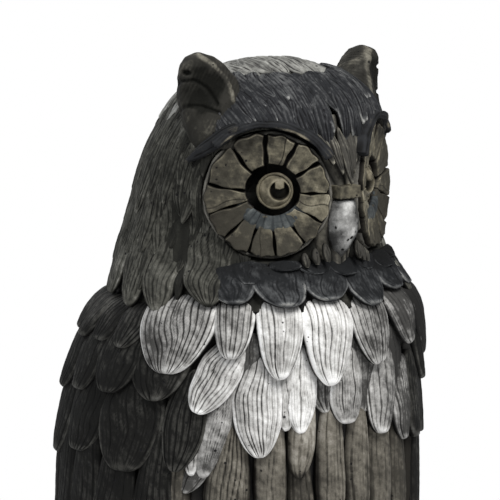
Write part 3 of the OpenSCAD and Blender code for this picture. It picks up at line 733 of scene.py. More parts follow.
# From the bottom row up: name, leaves, share left out at the front, scored lines, thickness,
# lift at root and tip, and how wide the end leaves are.
wing_rows = (
    ("primaries", 7, 0.0, 6, 3.4, (1.0, 5.6), 1.0),
    ("secondaries", 7, 0.0, 7, 3.8, (1.4, 7.4), 0.8),
    ("greater_coverts", 6, 0.0, 8, 3.4, (0.0, 5.4), 0.6),
    ("median_coverts", 6, 0.10, 8, 3.3, (0.0, 5.2), 1.0),
    ("shoulder_coverts", 7, 0.08, 8, 3.0, (0.0, 4.6), 1.0),
)
for side in ("left", "right"):
    blade = Clay()
    points, _ = mesh_arrays(side + "_wing_blade")
    turn_at, up_at = body.find(points, 1.5 * MM)
    levels = np.linspace(up_at.min() + 9 * MM, up_at.max(), 90)
    fronts, backs = [], []
    for level in levels:
        close = np.abs(up_at - level) < 16 * MM
        fronts.append(np.abs(turn_at[close]).min())
        backs.append(np.abs(turn_at[close]).max())
    sign = 1 if side == "left" else -1
    smoothing = np.ones(9) / 9
    fronts = np.convolve(np.pad(fronts, 4, "edge"), smoothing, "valid")
    backs = np.convolve(np.pad(backs, 4, "edge"), smoothing, "valid")
    across = np.linspace(0, 1, 80)
    turn = sign * (fronts[:, None] + (backs - fronts)[:, None] * across[None])
    up = np.repeat(levels[:, None], len(across), 1)
    bulge = 3.1 * MM * np.sqrt(np.sin(np.pi * np.clip(across, 0.0, 1.0))[None] * np.ones_like(up))
    upper = body.point(turn, up, bulge)
    lower = body.point(turn[:, ::-1][:, 1:-1:13], up[:, ::-1][:, 1:-1:13],
                       -0.8 * MM * np.ones_like(up[:, 1:-1:13]))
    both = np.concatenate([upper, lower], 1)
    if sign < 0:
        both = both[:, ::-1]
    blade.grid(both, 0.45, 0.3, wrap=True)
    blade.make(side + "_wing_blade_modelled", gap_paint, [side + "_wing_blade"], "black_feather")
    base_seed = 40 if side == "left" else 60
    for k, (row, count, front, ribs, fat, lift, end_width) in enumerate(wing_rows):
        lay_course(f"{side}_{row}", body, black_paint, "black_feather", base_seed + k, wide=1.5,
                   count=count, front=front, ribs=ribs, hairs=20, score=0.42 * MM, thick=fat * MM,
                   fine=0.42 * MM, end_width=end_width,
                   rows_down=2.0 * MM * (row == "median_coverts"),
                   lift=(lift[0] * MM, lift[1] * MM), broad=0.5, point=0.52, root=0.5,
                   rows_up=8 * MM, stagger=2.5 * MM, load_at=wing_load)


# ==== Back, rump and tail ====
# Broad leaves cover the back between the wings, and seven long tail feathers run down to the
# plinth. The tail is stiffer and flatter, with scored lines down each feather.

for course, seed in (("rump_course", 80), ("mantle_course_3", 81), ("mantle_course_2", 82),
                     ("mantle_course_1", 83)):
    lay_course(course, body, black_paint, "black_feather", seed, wide=1.3, ribs=10, hairs=20,
               score=0.4 * MM, thick=3.2 * MM, lift=(-0.8 * MM, 3.4 * MM), fine=0.55 * MM,
               load=0.40)

tail = Clay()
tail_rng = np.random.default_rng(90)
for k, part in enumerate(loose_parts("tail_feathers")):
    order = part[np.argsort(part[:, 2])]
    foot, top = order[:6].mean(0), order[-6:].mean(0)
    mids = np.polyfit(part[:, 2], part[:, 1], 2)
    width = np.ptp(part[:, 0]) - abs(foot[0] - top[0])

    def place(s, u, off, foot=foot, top=top, mids=mids):
        z = top[2] + (foot[2] - top[2]) * s
        x = top[0] + (foot[0] - top[0]) * s
        y = np.polyval(mids, z) + off
        return np.stack([x - u, y, z + 0 * u], -1)

    leaf(tail, tail_rng, place, width * 1.38, top[2] - foot[2], thick=3.2 * MM, ribs=5,
         score=0.4 * MM, hairs=12, lift=(-2.2 * MM, -1.6 * MM), broad=0.8, point=0.5, root=0.95,
         fine=0.65 * MM, load=0.38, roll=0.06 if k % 2 else -0.06, crown=0.6 * MM)
tail.make("tail_feathers_modelled", black_paint, ["tail_feathers"], "black_feather")


# ==== Feet ====
# Each foot has three toes over the plinth's edge: rolls of clay with creases at the joints,
# and a smooth hooked talon pressed into each end.

scale_paint = stone_paint("scale_paint", (0.010, 0.010, 0.009), (0.050, 0.047, 0.042),
                          (0.24, 0.22, 0.185), (0.45, 0.43, 0.38), pits=0.4)
talon_paint = stone_paint("talon_paint", (0.006, 0.006, 0.007), (0.020, 0.021, 0.024),
                          (0.12, 0.12, 0.12), (0.35, 0.35, 0.34), pits=0.1, rough=0.42, grain=0.4)


def rolled(clay, path, radii, bumps=None, ridge=0.6, load=0.45, sides=26):
    """A round bar of clay along a path, with a radius at each point."""
    path = np.asarray(path)
    along = np.gradient(path, axis=0)
    along /= np.linalg.norm(along, axis=1, keepdims=True)
    side = np.cross(along, [0, 0, 1.0])
    side /= np.linalg.norm(side, axis=1, keepdims=True)
    up = np.cross(side, along)
    a = np.linspace(0, math.tau, sides, endpoint=False)
    r = (np.asarray(radii)[:, None]
         * (1 if bumps is None else 1 + bumps(np.linspace(0, 1, len(path))[:, None], a[None])))
    ring = path[:, None] + r[..., None] * (side[:, None] * np.cos(a)[None, :, None]
                                           + up[:, None] * np.sin(a)[None, :, None])
    clay.grid(ring[:, ::-1], ridge if np.isscalar(ridge) else ridge[:, ::-1], load, wrap=True)


for side in ("left", "right"):
    toes, claws = Clay(), Clay()
    rng = np.random.default_rng(95 if side == "left" else 96)
    low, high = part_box(side + "_toes")
    heel = np.array([(low.x + high.x) / 2, high.y + 6 * MM, plinth_top + 5 * MM])
    for part in loose_parts(side + "_talons"):
        root = part[part[:, 1] > part[:, 1].max() - 1.5 * MM].mean(0)
        point = part[part[:, 2] < part[:, 2].min() + 0.6 * MM].mean(0)
        start = heel + [(root[0] - heel[0]) * 0.5, 0, 0]
        t = np.linspace(0, 1, 54)[:, None]
        path = start + (root - start) * t + [0, 0, 1] * np.sin(math.pi * t) * 5.2 * MM
        t = t[:, 0]
        knuckle = 0.13 * np.exp(-((t - 0.36) / 0.08) ** 2) + 0.12 * np.exp(-((t - 0.7) / 0.07) ** 2)
        radii = ((5.8 * MM) * (1 + knuckle)
                 * np.where(t > 0.9, np.sqrt(np.maximum(1 - ((t - 0.9) / 0.13) ** 2, 0.05)), 1))
        phase = rng.uniform(0, 6)

        def wrinkles(s, a, phase=phase):
            crease = np.abs(np.sin(s * 34 + phase + 0.5 * np.sin(a))) ** 6
            return -0.045 * crease * (np.sin(a) > -0.4)

        shade = 0.75 + 8 * wrinkles(t[:, None], np.linspace(0, math.tau, 26, endpoint=False)[None])
        rolled(toes, path, radii, wrinkles, np.clip(shade, 0, 1), 0.5)
        t = np.linspace(0, 1, 26)[:, None]
        out = (root - start) * [1, 1, 0]
        out /= np.linalg.norm(out)
        bend = out * 3.2 * MM + [0, 0, 2.4 * MM]
        hook = root + (point - root) * t + bend * np.sin(math.pi * t ** 0.8)
        rolled(claws, hook, 3.3 * MM * np.maximum(1 - t[:, 0] ** 1.7, 0.08), None, 0.7, 0.4, 20)
    toes.make(side + "_toes_modelled", scale_paint, [side + "_toes"], "charcoal")
    claws.make(side + "_talons_modelled", talon_paint, [side + "_talons"], "black_feather")


# ==== Head casting ====
# The head is a second hollow casting that drops over the collar, turned a little to the owl's
# left. Its skin was combed from crown to nape before the strands went on.

left_disc_points, _ = mesh_arrays("left_disc_base")
right_disc_points, _ = mesh_arrays("right_disc_base")
between = left_disc_points.mean(0) - right_disc_points.mean(0)
head_turn = math.atan2(between[1], between[0])
neck_y = -22 * MM  # the axis that the head was turned about, in front of the body's middle
head = Core("head_casting", head_turn, (0.0, neck_y))
stone_grey = stone_paint("stone_grey", (0.003, 0.003, 0.003), (0.016, 0.016, 0.0135),
                         (0.078, 0.077, 0.066), (0.36, 0.355, 0.33), pits=0.5)
scalp = Clay()
phi, l = np.meshgrid(np.linspace(0, math.tau, 300, endpoint=False),
                     np.concatenate([np.linspace(-5 * MM, 0, 8),
                                     np.linspace(0.4 * MM, head.length - 0.6 * MM, 170)]),
                     indexing="xy")
strokes = np.stack([phi.ravel() * 0.05, 0 * l.ravel(), l.ravel() * 0.16], -1)
combed = lumps(strokes, 4.2 * MM, 101).reshape(phi.shape)
tuck = 1.7 * np.minimum(l, 0)
scalp.grid(head.point(phi, l, -0.3 * MM + 0.5 * MM * combed + tuck),
           (0.45 + 0.4 * combed) * (l > 0),
           0.36 + 0.3 * smooth_step(355 * MM, 366 * MM, head.at(l)[3]), wrap=True)


# ==== Facial discs ====
# Each disc is a round dish with a deep well for the eye, set a little proud of the face. Its
# wall and well are black.


def smoothed_line(corners, spacing=0.5 * MM, soft=2):
    """A line through corners with even points and eased bends."""
    corners = np.asarray(corners, float)
    run = np.concatenate([[0], np.cumsum(np.linalg.norm(np.diff(corners, axis=0), axis=1))])
    even = np.linspace(0, run[-1], max(int(run[-1] / spacing), 4))
    line = np.stack([np.interp(even, run, corners[:, k]) for k in range(corners.shape[1])], -1)
    for _ in range(soft):
        line[1:-1] = (line[:-2] + 2 * line[1:-1] + line[2:]) / 4
    return line


face = {}
for side in ("left", "right"):
    tile_points, _ = mesh_arrays(side + "_disc_tiles")
    normal = np.linalg.svd(tile_points - tile_points.mean(0), full_matrices=False)[2][2]
    normal *= -np.sign(normal[1])
    upward = np.array([0.0, 0.0, 1.0])
    outward = np.cross(upward, normal)
    outward *= 1 if side == "left" else -1
    axes = np.stack([outward, upward, normal])
    base_points, _ = mesh_arrays(side + "_disc_base")
    own = base_points @ axes.T
    middle = (own.min(0) + own.max(0)) / 2
    middle[2] = own[:, 2].max()
    face[side] = dict(axes=axes, middle=middle, radius=np.ptp(own[:, 0]) / 2,
                      back=own[:, 2].min() - middle[2])


def face_point(side, local):
    """World place of a point in a disc's own frame: outwards, up, and forwards of its dish."""
    return (np.asarray(local) + face[side]["middle"]) @ face[side]["axes"]


def face_local(side, points):
    """A world point in a disc's own frame."""
    return points @ face[side]["axes"].T - face[side]["middle"]


def press_round_discs(clay, room=28.3 * MM):
    """Presses clay in behind each disc, so that the dish sits in it."""
    for k, points in enumerate(clay.points):
        for side in ("left", "right"):
            local = face_local(side, points)
            away = np.hypot(local[:, 0], local[:, 1])
            inside = smooth_step(room + 0.8 * MM, room - 0.3 * MM, away) * (local[:, 2] > -25 * MM)
            local[:, 2] -= inside * np.maximum(local[:, 2] + 5 * MM, 0)
            points = face_point(side, local)
        clay.points[k] = points


press_round_discs(scalp)
scalp.make("head_casting_skin", stone_grey, ["head_casting"], "charcoal")

well_paint = stone_paint("well_paint", (0.002, 0.002, 0.002), (0.008, 0.008, 0.008),
                         (0.10, 0.096, 0.085), (0.24, 0.23, 0.20), pits=0.4)
eye_middle = {}
for side in ("left", "right"):
    eye_points, _ = mesh_arrays(side + "_eye_rim")
    eye_local = face_local(side, eye_points)
    eye_middle[side] = (eye_local.min(0) + eye_local.max(0)) / 2
    radius, back = face[side]["radius"], face[side]["back"]
    outline = smoothed_line([(0.4 * MM, back), (radius - 1.6 * MM, back), (radius, back + 1.6 * MM),
                             (radius + 0.3 * MM, -2.4 * MM), (radius + 0.5 * MM, 1.6 * MM),
                             (radius - 0.2 * MM, 2.6 * MM), (radius - 1.2 * MM, 1.6 * MM),
                             (radius - 2.2 * MM, -0.2 * MM), (0.4 * MM, -0.4 * MM)])
    dish = Clay()
    a = np.linspace(0, math.tau, 180, endpoint=False)
    r = np.repeat(outline[:, :1], len(a), 1)
    local = np.stack([r * np.cos(a), r * np.sin(a), np.repeat(outline[:, 1:2], len(a), 1)], -1)
    from_eye = np.hypot(local[..., 0] - eye_middle[side][0], local[..., 1] - eye_middle[side][1])
    in_front = local[..., 2] > -1.2 * MM
    local[..., 2] -= np.where(in_front, 6.5 * MM * smooth_step(12.2 * MM, 11.4 * MM, from_eye), 0)
    bumps = lumps(local.reshape(-1, 3), 6 * MM, 131).reshape(r.shape)
    waver = (1 + 0.012 * bumps) * (1 + 0.006 * np.cos(7 * a + 1))
    local[..., :2] *= waver[..., None]
    on_rim = (outline[:, 0] > radius - 1.1 * MM) & (outline[:, 1] > -0.6 * MM)
    rim_mark = np.where(on_rim, 0.95, 0.1)[:, None]
    dish.grid(face_point(side, local), rim_mark + 0.2 * bumps, 0.46, wrap=True)
    dish.make(side + "_disc_dish", well_paint, [side + "_disc_base"], "charcoal")


# ==== Disc tiles ====
# Twelve wedge-shaped tiles of clay are set round each eye with deep gaps between them. Their tops
# are rough and brushed taupe, most of all over the eye and beside the beak; the lower outer tiles
# are darker, partly as painted shade.

tile_paint = stone_paint("tile_paint", (0.006, 0.005, 0.004), (0.040, 0.037, 0.029),
                         (0.135, 0.122, 0.088), (0.34, 0.315, 0.245), pits=0.45, grain=1.5)
for side in ("left", "right"):
    tiles = Clay()
    rng = np.random.default_rng(141)
    eye_x, eye_y = eye_middle[side][:2]
    wedges = []
    for part in loose_parts(side + "_disc_tiles"):
        local = face_local(side, part)
        dx, dy = local[:, 0] - eye_x, local[:, 1] - eye_y
        r, bearing = np.hypot(dx, dy), math.atan2(dy.mean(), dx.mean())
        turn = (np.arctan2(dy, dx) - bearing + math.pi) % math.tau - math.pi
        inner, outer = r < r.min() + 0.22 * np.ptp(r), r > r.min() + 0.72 * np.ptp(r)
        wedges.append((bearing, turn[inner].min(), turn[inner].max(), turn[outer].min(),
                       turn[outer].max(), local[:, 2].max()))
    wedges = np.array(sorted(wedges))
    ahead, behind = np.roll(wedges, -1, 0), np.roll(wedges, 1, 0)
    for k, wedge in enumerate(wedges):
        bearing = wedge[0]
        limits = []
        for near, far, neighbour in ((1, 2, behind[k]), (2, 1, ahead[k]), (3, 4, behind[k]),
                                     (4, 3, ahead[k])):
            other = neighbour[0] + neighbour[far]
            limits.append((wedge[near] + (other - bearing + math.pi) % math.tau - math.pi) / 2)
        a, b = np.meshgrid(np.linspace(0, 1, 50), np.linspace(0, 1, 44), indexing="ij")
        eye_r = 11.5 * MM + 0.4 * MM * np.sin(3 * b + k)
        low_turn = limits[0] + (limits[2] - limits[0]) * a
        high_turn = limits[1] + (limits[3] - limits[1]) * a
        theta = (bearing + low_turn + (high_turn - low_turn) * b
                 + 0.03 * np.sin(a * 5 + 2 * k) * (1 - (2 * b - 1) ** 2))
        edge_x, edge_y = np.cos(theta), np.sin(theta)
        along = edge_x * eye_x + edge_y * eye_y
        rim_r = face[side]["radius"] - 0.1 * MM
        reach = -along + np.sqrt(along ** 2 + rim_r ** 2 - eye_x ** 2 - eye_y ** 2)
        reach = reach * (1 - 0.03 * (2 * b - 1) ** 2 + rng.uniform(-0.02, 0.012))
        far = eye_r + (reach - eye_r) * a
        gap = (0.16 + 0.45 * smooth_step(0.0, 0.8, math.sin(bearing))
               + 0.2 * smooth_step(-0.7, -1.0, math.sin(bearing))) * MM
        across = (2 * b - 1) * (gap + 0.28 * MM * np.sin(a * 9 + 3 * k + 2 * np.sign(b - 0.5)))
        far = far + 0.45 * MM * np.sin(b * 11 + 2.3 * k) * a
        x, y = eye_x + far * edge_x, eye_y + far * edge_y
        x, y = x + across * edge_y, y - across * edge_x
        edge = np.minimum(np.minimum(a, 1 - a) * (reach - eye_r),
                          np.minimum(b, 1 - b) * (high_turn - low_turn) * far)
        soft = np.clip(edge / ((0.7 + 0.4 * smooth_step(0.0, 0.7, math.sin(bearing))) * MM), 0, 1)
        rounded = np.sqrt(np.maximum(1 - (1 - soft) ** 2, 0))
        p = np.stack([x, y, 0 * x], -1).reshape(-1, 3)
        rough = lumps(p + k * 0.01, 9 * MM, 142).reshape(x.shape)
        fine_rough = lumps(p, 2.6 * MM, 143).reshape(x.shape)
        tilt = (rng.uniform(-0.04, 0.04) * (b - 0.5) * far
                + rng.uniform(-0.03, 0.03) * (a - 0.5) * reach)
        height = (wedge[5] - 1.0 * MM + tilt + 0.35 * MM * rough
                  + 0.12 * MM * fine_rough) * rounded - 0.4 * MM
        scratch = np.exp(-((b - 0.5 - 0.25 * math.sin(5 * k) - 0.06 * np.sin(6 * a)) * far
                           / (0.35 * MM)) ** 2) * (k % 3 == 0)
        height -= 0.35 * MM * scratch * smooth_step(0.1, 0.4, a) * soft
        height += 2.3 * MM * a ** 2
        # Brushing grows towards the top of the disc and the beak: partly rubbed paint, partly
        # painted shade on the lower outer tiles.
        load = (0.44 + 0.15 * (y / face[side]["radius"]) - 0.24 * (x / face[side]["radius"])
                + rng.uniform(-0.05, 0.06))
        ridge = (0.66 + 0.22 * rough + 0.2 * fine_rough) * smooth_step(0.0, 0.6, soft) \
            + 0.25 * smooth_step(0.4, 0.8, soft) * smooth_step(1.0, 0.8, soft) - 0.5 * scratch
        upper = np.stack([x, y, height], -1)
        rows, cols = x.shape
        i = np.arange(rows * cols).reshape(rows, cols)
        border = np.concatenate([i[0, :-1], i[:-1, -1], i[-1, :0:-1], i[:0:-1, 0]])
        n = rows * cols
        under = upper.reshape(-1, 3)[border] * [1, 1, 0] + [0, 0, -1.6 * MM]
        centre = under.mean(0, keepdims=True)
        quads = np.stack([i[:-1, :-1], i[1:, :-1], i[1:, 1:], i[:-1, 1:]], -1).reshape(-1, 4)
        m = len(border)
        j = np.arange(m)
        nxt = (j + 1) % m
        walls = np.stack([border[j], border[nxt], n + nxt, n + j], -1)
        fan = np.stack([n + j, n + nxt, np.full(m, n + m)], -1)
        points = np.concatenate([upper.reshape(-1, 3), under, centre])
        tiles.add(face_point(side, points), np.concatenate([quads, walls]), fan,
                  np.concatenate([ridge.ravel(), np.zeros(m + 1)]),
                  np.concatenate([load.ravel(), np.zeros(m + 1)]))
    tiles.make(side + "_disc_tiles_modelled", tile_paint, [side + "_disc_tiles"], "bronze_face")


# ==== Eyelids ====
# A thick crescent of clay lies under each eye, over the inner ends of the lower tiles. It is
# bluish grey, and scored towards the eye.

lid_paint = stone_paint("lid_paint", (0.006, 0.007, 0.008), (0.036, 0.041, 0.043),
                        (0.105, 0.114, 0.112), (0.24, 0.24, 0.23), pits=0.2)
for side in ("left", "right"):
    lid_points, _ = mesh_arrays(side + "_lower_lid")
    local = face_local(side, lid_points)
    dx, dy = local[:, 0] - eye_middle[side][0], local[:, 1] - eye_middle[side][1]
    r, turn = np.hypot(dx, dy), np.arctan2(dy, dx) % math.tau
    t = np.linspace(0, 1, 90)
    bearing = turn.min() + (turn.max() - turn.min()) * t
    thick = np.sqrt(np.maximum(1 - (2 * t - 1) ** 4, 0.0))
    inside, outside = r.min() - 0.4 * MM, r.max() + 1.6 * MM
    a = np.linspace(0, math.tau, 40, endpoint=False)
    ring_r = (inside + outside) / 2 + (outside - inside) / 2 * (
        np.sign(np.cos(a)) * np.abs(np.cos(a)) ** 0.7)[None, :] * (0.25 + 0.75 * thick)[:, None]
    height = ((local[:, 2].max() - 0.2 * MM) / 2
              * (1 + (np.sign(np.sin(a)) * np.abs(np.sin(a)) ** 0.8)[None, :])
              * (0.35 + 0.65 * thick)[:, None] - 0.3 * MM)
    groove = np.clip(np.sin(bearing * 27 + 1.3 * np.sin(bearing * 6)), 0.55, 1)[:, None] - 0.55
    height = height - 0.35 * MM * groove * smooth_step(0.1, 0.7, np.sin(a))
    bearing = np.repeat(bearing[:, None], len(a), 1)
    p = np.stack([eye_middle[side][0] + ring_r * np.cos(bearing),
                  eye_middle[side][1] + ring_r * np.sin(bearing), height], -1)
    rough = lumps(p.reshape(-1, 3), 4 * MM, 151).reshape(height.shape)
    p[..., 2] += 0.2 * MM * rough
    lid = Clay()
    lid.grid(face_point(side, p),
             np.clip(0.66 + 0.3 * rough - 0.7 * groove, 0, 1) * smooth_step(-0.4, 0.2, np.sin(a)),
             0.38, wrap=True)
    lid.make(side + "_lower_lid_modelled", lid_paint, [side + "_lower_lid"], "taupe_feather")


# ==== Eyes ====
# Each eye is a bronze dome in a thin raised ring. The pupil is a round hole whose upper middle
# is filled by a small lump, the highlight, so that a dark crescent is left below it.

eye_paint = stone_paint("eye_paint", (0.005, 0.0045, 0.003), (0.045, 0.040, 0.028),
                        (0.155, 0.138, 0.098), (0.36, 0.33, 0.26), pits=0.35, rough=0.5)
for side in ("left", "right"):
    dome_points, _ = mesh_arrays(side + "_eye")
    local = face_local(side, dome_points)
    centre = eye_middle[side] + np.array([-0.9, -0.3, 0.0]) * MM
    ring_local = face_local(side, mesh_arrays(side + "_eye_rim")[0])
    ring_out = np.ptp(ring_local[:, 0]) / 2 - 1.7 * MM
    dome_r, dome_top = ring_out - 0.3 * MM, local[:, 2].max()
    r, a = np.meshgrid(np.linspace(0.15 * MM, dome_r, 70),
                       np.linspace(0, math.tau, 130, endpoint=False), indexing="ij")
    x, y = r * np.cos(a), r * np.sin(a)
    beak_way = -2.0 * MM
    rise = dome_top - 3.4 * MM * (r / dome_r) ** 2.2
    from_pupil = np.hypot(x - beak_way, y - 0.2 * MM)
    hole = smooth_step(4.5 * MM, 3.7 * MM, from_pupil)
    lump = (smooth_step(2.6 * MM, 1.7 * MM, np.abs(x - beak_way))
            * smooth_step(0.0, 1.1 * MM, y - 0.3 * np.abs(x - beak_way)))
    lip = np.exp(-((from_pupil - 4.9 * MM) / (0.6 * MM)) ** 2)
    rough = lumps(np.stack([x, y, 0 * x], -1).reshape(-1, 3), 4 * MM, 161).reshape(x.shape)
    height = rise - 3.0 * MM * hole * (1 - lump) + 0.18 * MM * lip + 0.14 * MM * rough
    ridge = np.clip(0.72 + 0.25 * rough + 0.2 * lip, 0,
                    1) * (1 - hole * (1 - lump)) + 0.2 * hole * lump
    wall_r = np.array([dome_r + 0.1 * MM, dome_r + 0.1 * MM])[:, None] * np.ones_like(a[:2])
    wall_h = np.array([height[-1].mean() - 1.5 * MM, -5.0 * MM])[:, None] * np.ones_like(a[:2])
    x = np.concatenate([x, wall_r * np.cos(a[:2])])
    y = np.concatenate([y, wall_r * np.sin(a[:2])])
    height = np.concatenate([height, wall_h])
    ridge = np.concatenate([ridge, np.zeros_like(wall_h)])
    ball = Clay()
    ball.grid(face_point(side, np.stack([centre[0] + x, centre[1] + y, height], -1)), ridge, 0.55,
              wrap=True)
    ball.make(side + "_eye_dome", eye_paint, [side + "_eye"], "bronze_face")

    a = np.linspace(0, math.tau, 140, endpoint=False)
    b = np.linspace(0, math.tau, 22, endpoint=False)
    size = 0.62 * MM * (1 + 0.15 * np.sin(3 * a + 1) + 0.08 * np.sin(8 * a))
    ring_h = dome_top - 3.3 * MM
    ring_r = ring_out + size[:, None] * np.cos(b)[None]
    ring = np.stack([centre[0] + ring_r * np.cos(a)[:, None],
                     centre[1] + ring_r * np.sin(a)[:, None],
                     ring_h + size[:, None] * 1.5 * np.sin(b)[None]], -1)
    rim = Clay()
    rim.grid(face_point(side, np.concatenate([ring, ring[:1]])), 0.75, 0.5, wrap=True, caps=False)
    rim.make(side + "_eye_rim_modelled", eye_paint, [side + "_eye_rim"], "bronze_face")


# ==== Brows ====
# A roll of clay overhangs the top of each disc, with a dark gap below it. It was squeezed from the
# edge of the forehead and rubbed on its lip, where two forward-facing patches are lighter, partly
# as a painted highlight.


def softened(node, grain, passes):
    """A CAD node's shape as fine even clay: its points, faces and outward directions."""
    blank = bpy.data.objects.new("clay_blank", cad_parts[node].data.copy())
    bpy.context.scene.collection.objects.link(blank)
    even = blank.modifiers.new("even", "REMESH")
    even.mode = "VOXEL"
    even.voxel_size = grain
    shaped = blank.evaluated_get(bpy.context.evaluated_depsgraph_get())
    mesh = shaped.to_mesh()
    points = np.empty(len(mesh.vertices) * 3)
    mesh.vertices.foreach_get("co", points)
    points = points.reshape(-1, 3)
    corners = np.empty(len(mesh.loops), np.int64)
    mesh.loops.foreach_get("vertex_index", corners)
    totals = np.empty(len(mesh.polygons), np.int64)
    mesh.polygons.foreach_get("loop_total", totals)
    starts = np.concatenate([[0], np.cumsum(totals)[:-1]])
    quads = corners[starts[totals == 4][:, None] + np.arange(4)]
    tris = corners[starts[totals == 3][:, None] + np.arange(3)]
    shaped.to_mesh_clear()
    data = blank.data
    bpy.data.objects.remove(blank)
    bpy.data.meshes.remove(data)
    sides = np.concatenate([quads[:, [0, 1]], quads[:, [1, 2]], quads[:, [2, 3]], quads[:, [3, 0]]]
                           + ([tris[:, [0, 1]], tris[:, [1, 2]], tris[:, [2, 0]]] if len(tris)
                              else []))
    for step in range(passes * 2):
        around, count = np.zeros_like(points), np.zeros(len(points))
        np.add.at(around, sides[:, 0], points[sides[:, 1]])
        np.add.at(count, sides[:, 0], 1)
        points = points + (0.55 if step % 2 == 0
                           else -0.50) * (around / np.maximum(count, 1)[:, None] - points)
    out = np.zeros_like(points)
    facing = np.cross(points[quads[:, 2]] - points[quads[:, 0]],
                      points[quads[:, 3]] - points[quads[:, 1]])
    for k in range(4):
        np.add.at(out, quads[:, k], facing)
    out /= np.maximum(np.linalg.norm(out, axis=1, keepdims=True), 1e-12)
    return points, quads, tris, out


brow_paint = stone_paint("brow_paint", (0.004, 0.004, 0.004), (0.017, 0.018, 0.020),
                         (0.13, 0.118, 0.09), (0.36, 0.32, 0.24), pits=0.5)
for side in ("left", "right"):
    points, quads, tris, out = softened(side + "_brow", 0.45 * MM, 3)
    rough = lumps(points, 7 * MM, 171)
    local = face_local(side, points)
    out_local = out @ face[side]["axes"].T
    distance = np.hypot(local[:, 0], local[:, 1])
    drawn = np.sin(distance / (0.24 * MM) + 2.5 * lumps(points, 12 * MM, 174))
    points = points + out * (0.40 * MM * rough + 0.12 * MM * drawn)[:, None]
    forward = 3.0 * MM * smooth_step(-3 * MM, 2 * MM, local[:, 2])
    points = points + face[side]["axes"][2] * forward[:, None]
    # The forward-facing lip takes more brush in two patches: partly rubbed paint, partly a painted
    # highlight.
    lip = smooth_step(0.15, 0.75, out_local[:, 2]) * smooth_step(31.8 * MM, 30.6 * MM, distance)
    brow = Clay()
    patchy_rub_and_highlight = (np.exp(-((local[:, 0] + 13 * MM) / (6 * MM)) ** 2)
              + 0.7 * np.exp(-((local[:, 0] - 17 * MM) / (3 * MM)) ** 2))
    brow.add(points, quads, tris,
             np.clip(0.42 + 0.3 * rough + 0.16 * drawn + 0.6 * lip * patchy_rub_and_highlight, 0, 1.1),
             0.28 + 0.4 * lip * patchy_rub_and_highlight)

    def down_the_cheek(s, u, off, side=side):
        x, y = 12 * MM + 24 * MM * s + 0.5 * u, 31 * MM - 17 * MM * s + 0.85 * u
        z = 4.6 * MM - 8.0 * MM * s ** 1.2
        return face_point(side, np.stack([x + 0.25 * off, y, z + off], -1))

    leaf(brow, np.random.default_rng(173), down_the_cheek, 7.5 * MM, 30 * MM, ribs=2, hairs=7,
         score=0.4 * MM, thick=2.2 * MM, lift=(-0.5 * MM, 0.6 * MM), broad=0.35, point=0.8,
         root=0.5, fine=0.4 * MM, load=0.2, edge_light=0.1)
    brow.make(side + "_brow_modelled", brow_paint, [side + "_brow"], "bronze_face")


# ==== Nape, cheek, crown and forehead strands ====
# Thin strands of clay were laid over the head from the crown down to a cape on the shoulders.
# Each is scored with fine lines, and only its tip stands clear of the one below.


def comb(clay, rng, core, zone, tips, around, size, load, slant=0.0, lift=(-0.6 * MM, 1.2 * MM),
         bend=1.4 * MM, spare=3 * MM, **look):
    """Covers a zone of angles with rows of overlapping strands, whose tips climb from tips[0]
    to tips[1]. slant turns the roots away from the middle of the zone."""
    length, width = size
    rows = tips[2]
    for row in range(rows):
        level = tips[0] + (tips[1] - tips[0]) * row / max(rows - 1, 1)
        for k in rng.permutation(around):
            share = (k + 0.5 * (row % 2) + rng.uniform(-0.22, 0.22)) / max(around - 0.5, 1)
            turn = math.radians(zone[0] + (zone[1] - zone[0]) * share)
            tip = level + rng.uniform(-0.12, 0.12) * length
            root = min(tip + length * rng.uniform(0.85, 1.2),
                       core.length - spare * rng.uniform(0.9, 1.2))
            lean = math.radians(slant * (2 * share - 1) + rng.uniform(-5, 5))
            strand(clay, rng, core, (turn + lean, root), (turn, tip),
                   width * rng.uniform(0.82, 1.25), load=load + rng.uniform(-0.08, 0.08),
                   roll=rng.uniform(-0.08, 0.08), bow=rng.uniform(-1, 1) * bend,
                   lift=(lift[0], lift[1] + rng.uniform(-0.5, 0.5) * MM), **look)


wisp = dict(ribs=5, hairs=11, score=0.48 * MM, thick=1.6 * MM, broad=0.4, point=0.75, root=0.6,
            crown=0.7 * MM, fine=0.48 * MM, edge_light=0.12, line=0.24 * MM)


def pinch_neck(clay):
    """Draws the strands in at the sides of the neck, in front, below the discs."""
    for k, points in enumerate(clay.points):
        own = head.to_own(points)
        z = own[:, 2]
        level = smooth_step(282 * MM, 293 * MM, z) * smooth_step(322 * MM, 306 * MM, z)
        own[:, 0] *= 1 - 0.07 * level * smooth_step(14 * MM, -8 * MM, own[:, 1])
        clay.points[k] = head.to_world(own)


rng = np.random.default_rng(111)
nape = Clay()
cape = {**wisp, "ribs": 8, "hairs": 18, "thick": 2.4 * MM, "point": 0.6}
comb(nape, rng, head, (46, 313), (up_the_side(head, 269), up_the_side(head, 271), 1), 15,
     (34 * MM, 21 * MM), 0.52, lift=(0.0, 2.4 * MM), **cape)
comb(nape, rng, head, (52, 308), (up_the_side(head, 278), up_the_side(head, 306), 4), 24,
     (42 * MM, 12 * MM), 0.46, lift=(0.2 * MM, 1.7 * MM), bend=3.0 * MM, **wisp)
press_round_discs(nape)
pinch_neck(nape)
nape.make("nape_lower_modelled", stone_grey, ["nape_lower"], "charcoal")

rng = np.random.default_rng(112)
nape = Clay()
comb(nape, rng, head, (66, 294), (up_the_side(head, 312), up_the_side(head, 342), 4), 20,
     (38 * MM, 11.5 * MM), 0.46, lift=(0.0, 1.4 * MM), bend=3.0 * MM, **wisp)
press_round_discs(nape)
nape.make("nape_upper_modelled", stone_grey, ["nape_upper"], "charcoal")

rng = np.random.default_rng(113)
cheeks = Clay()
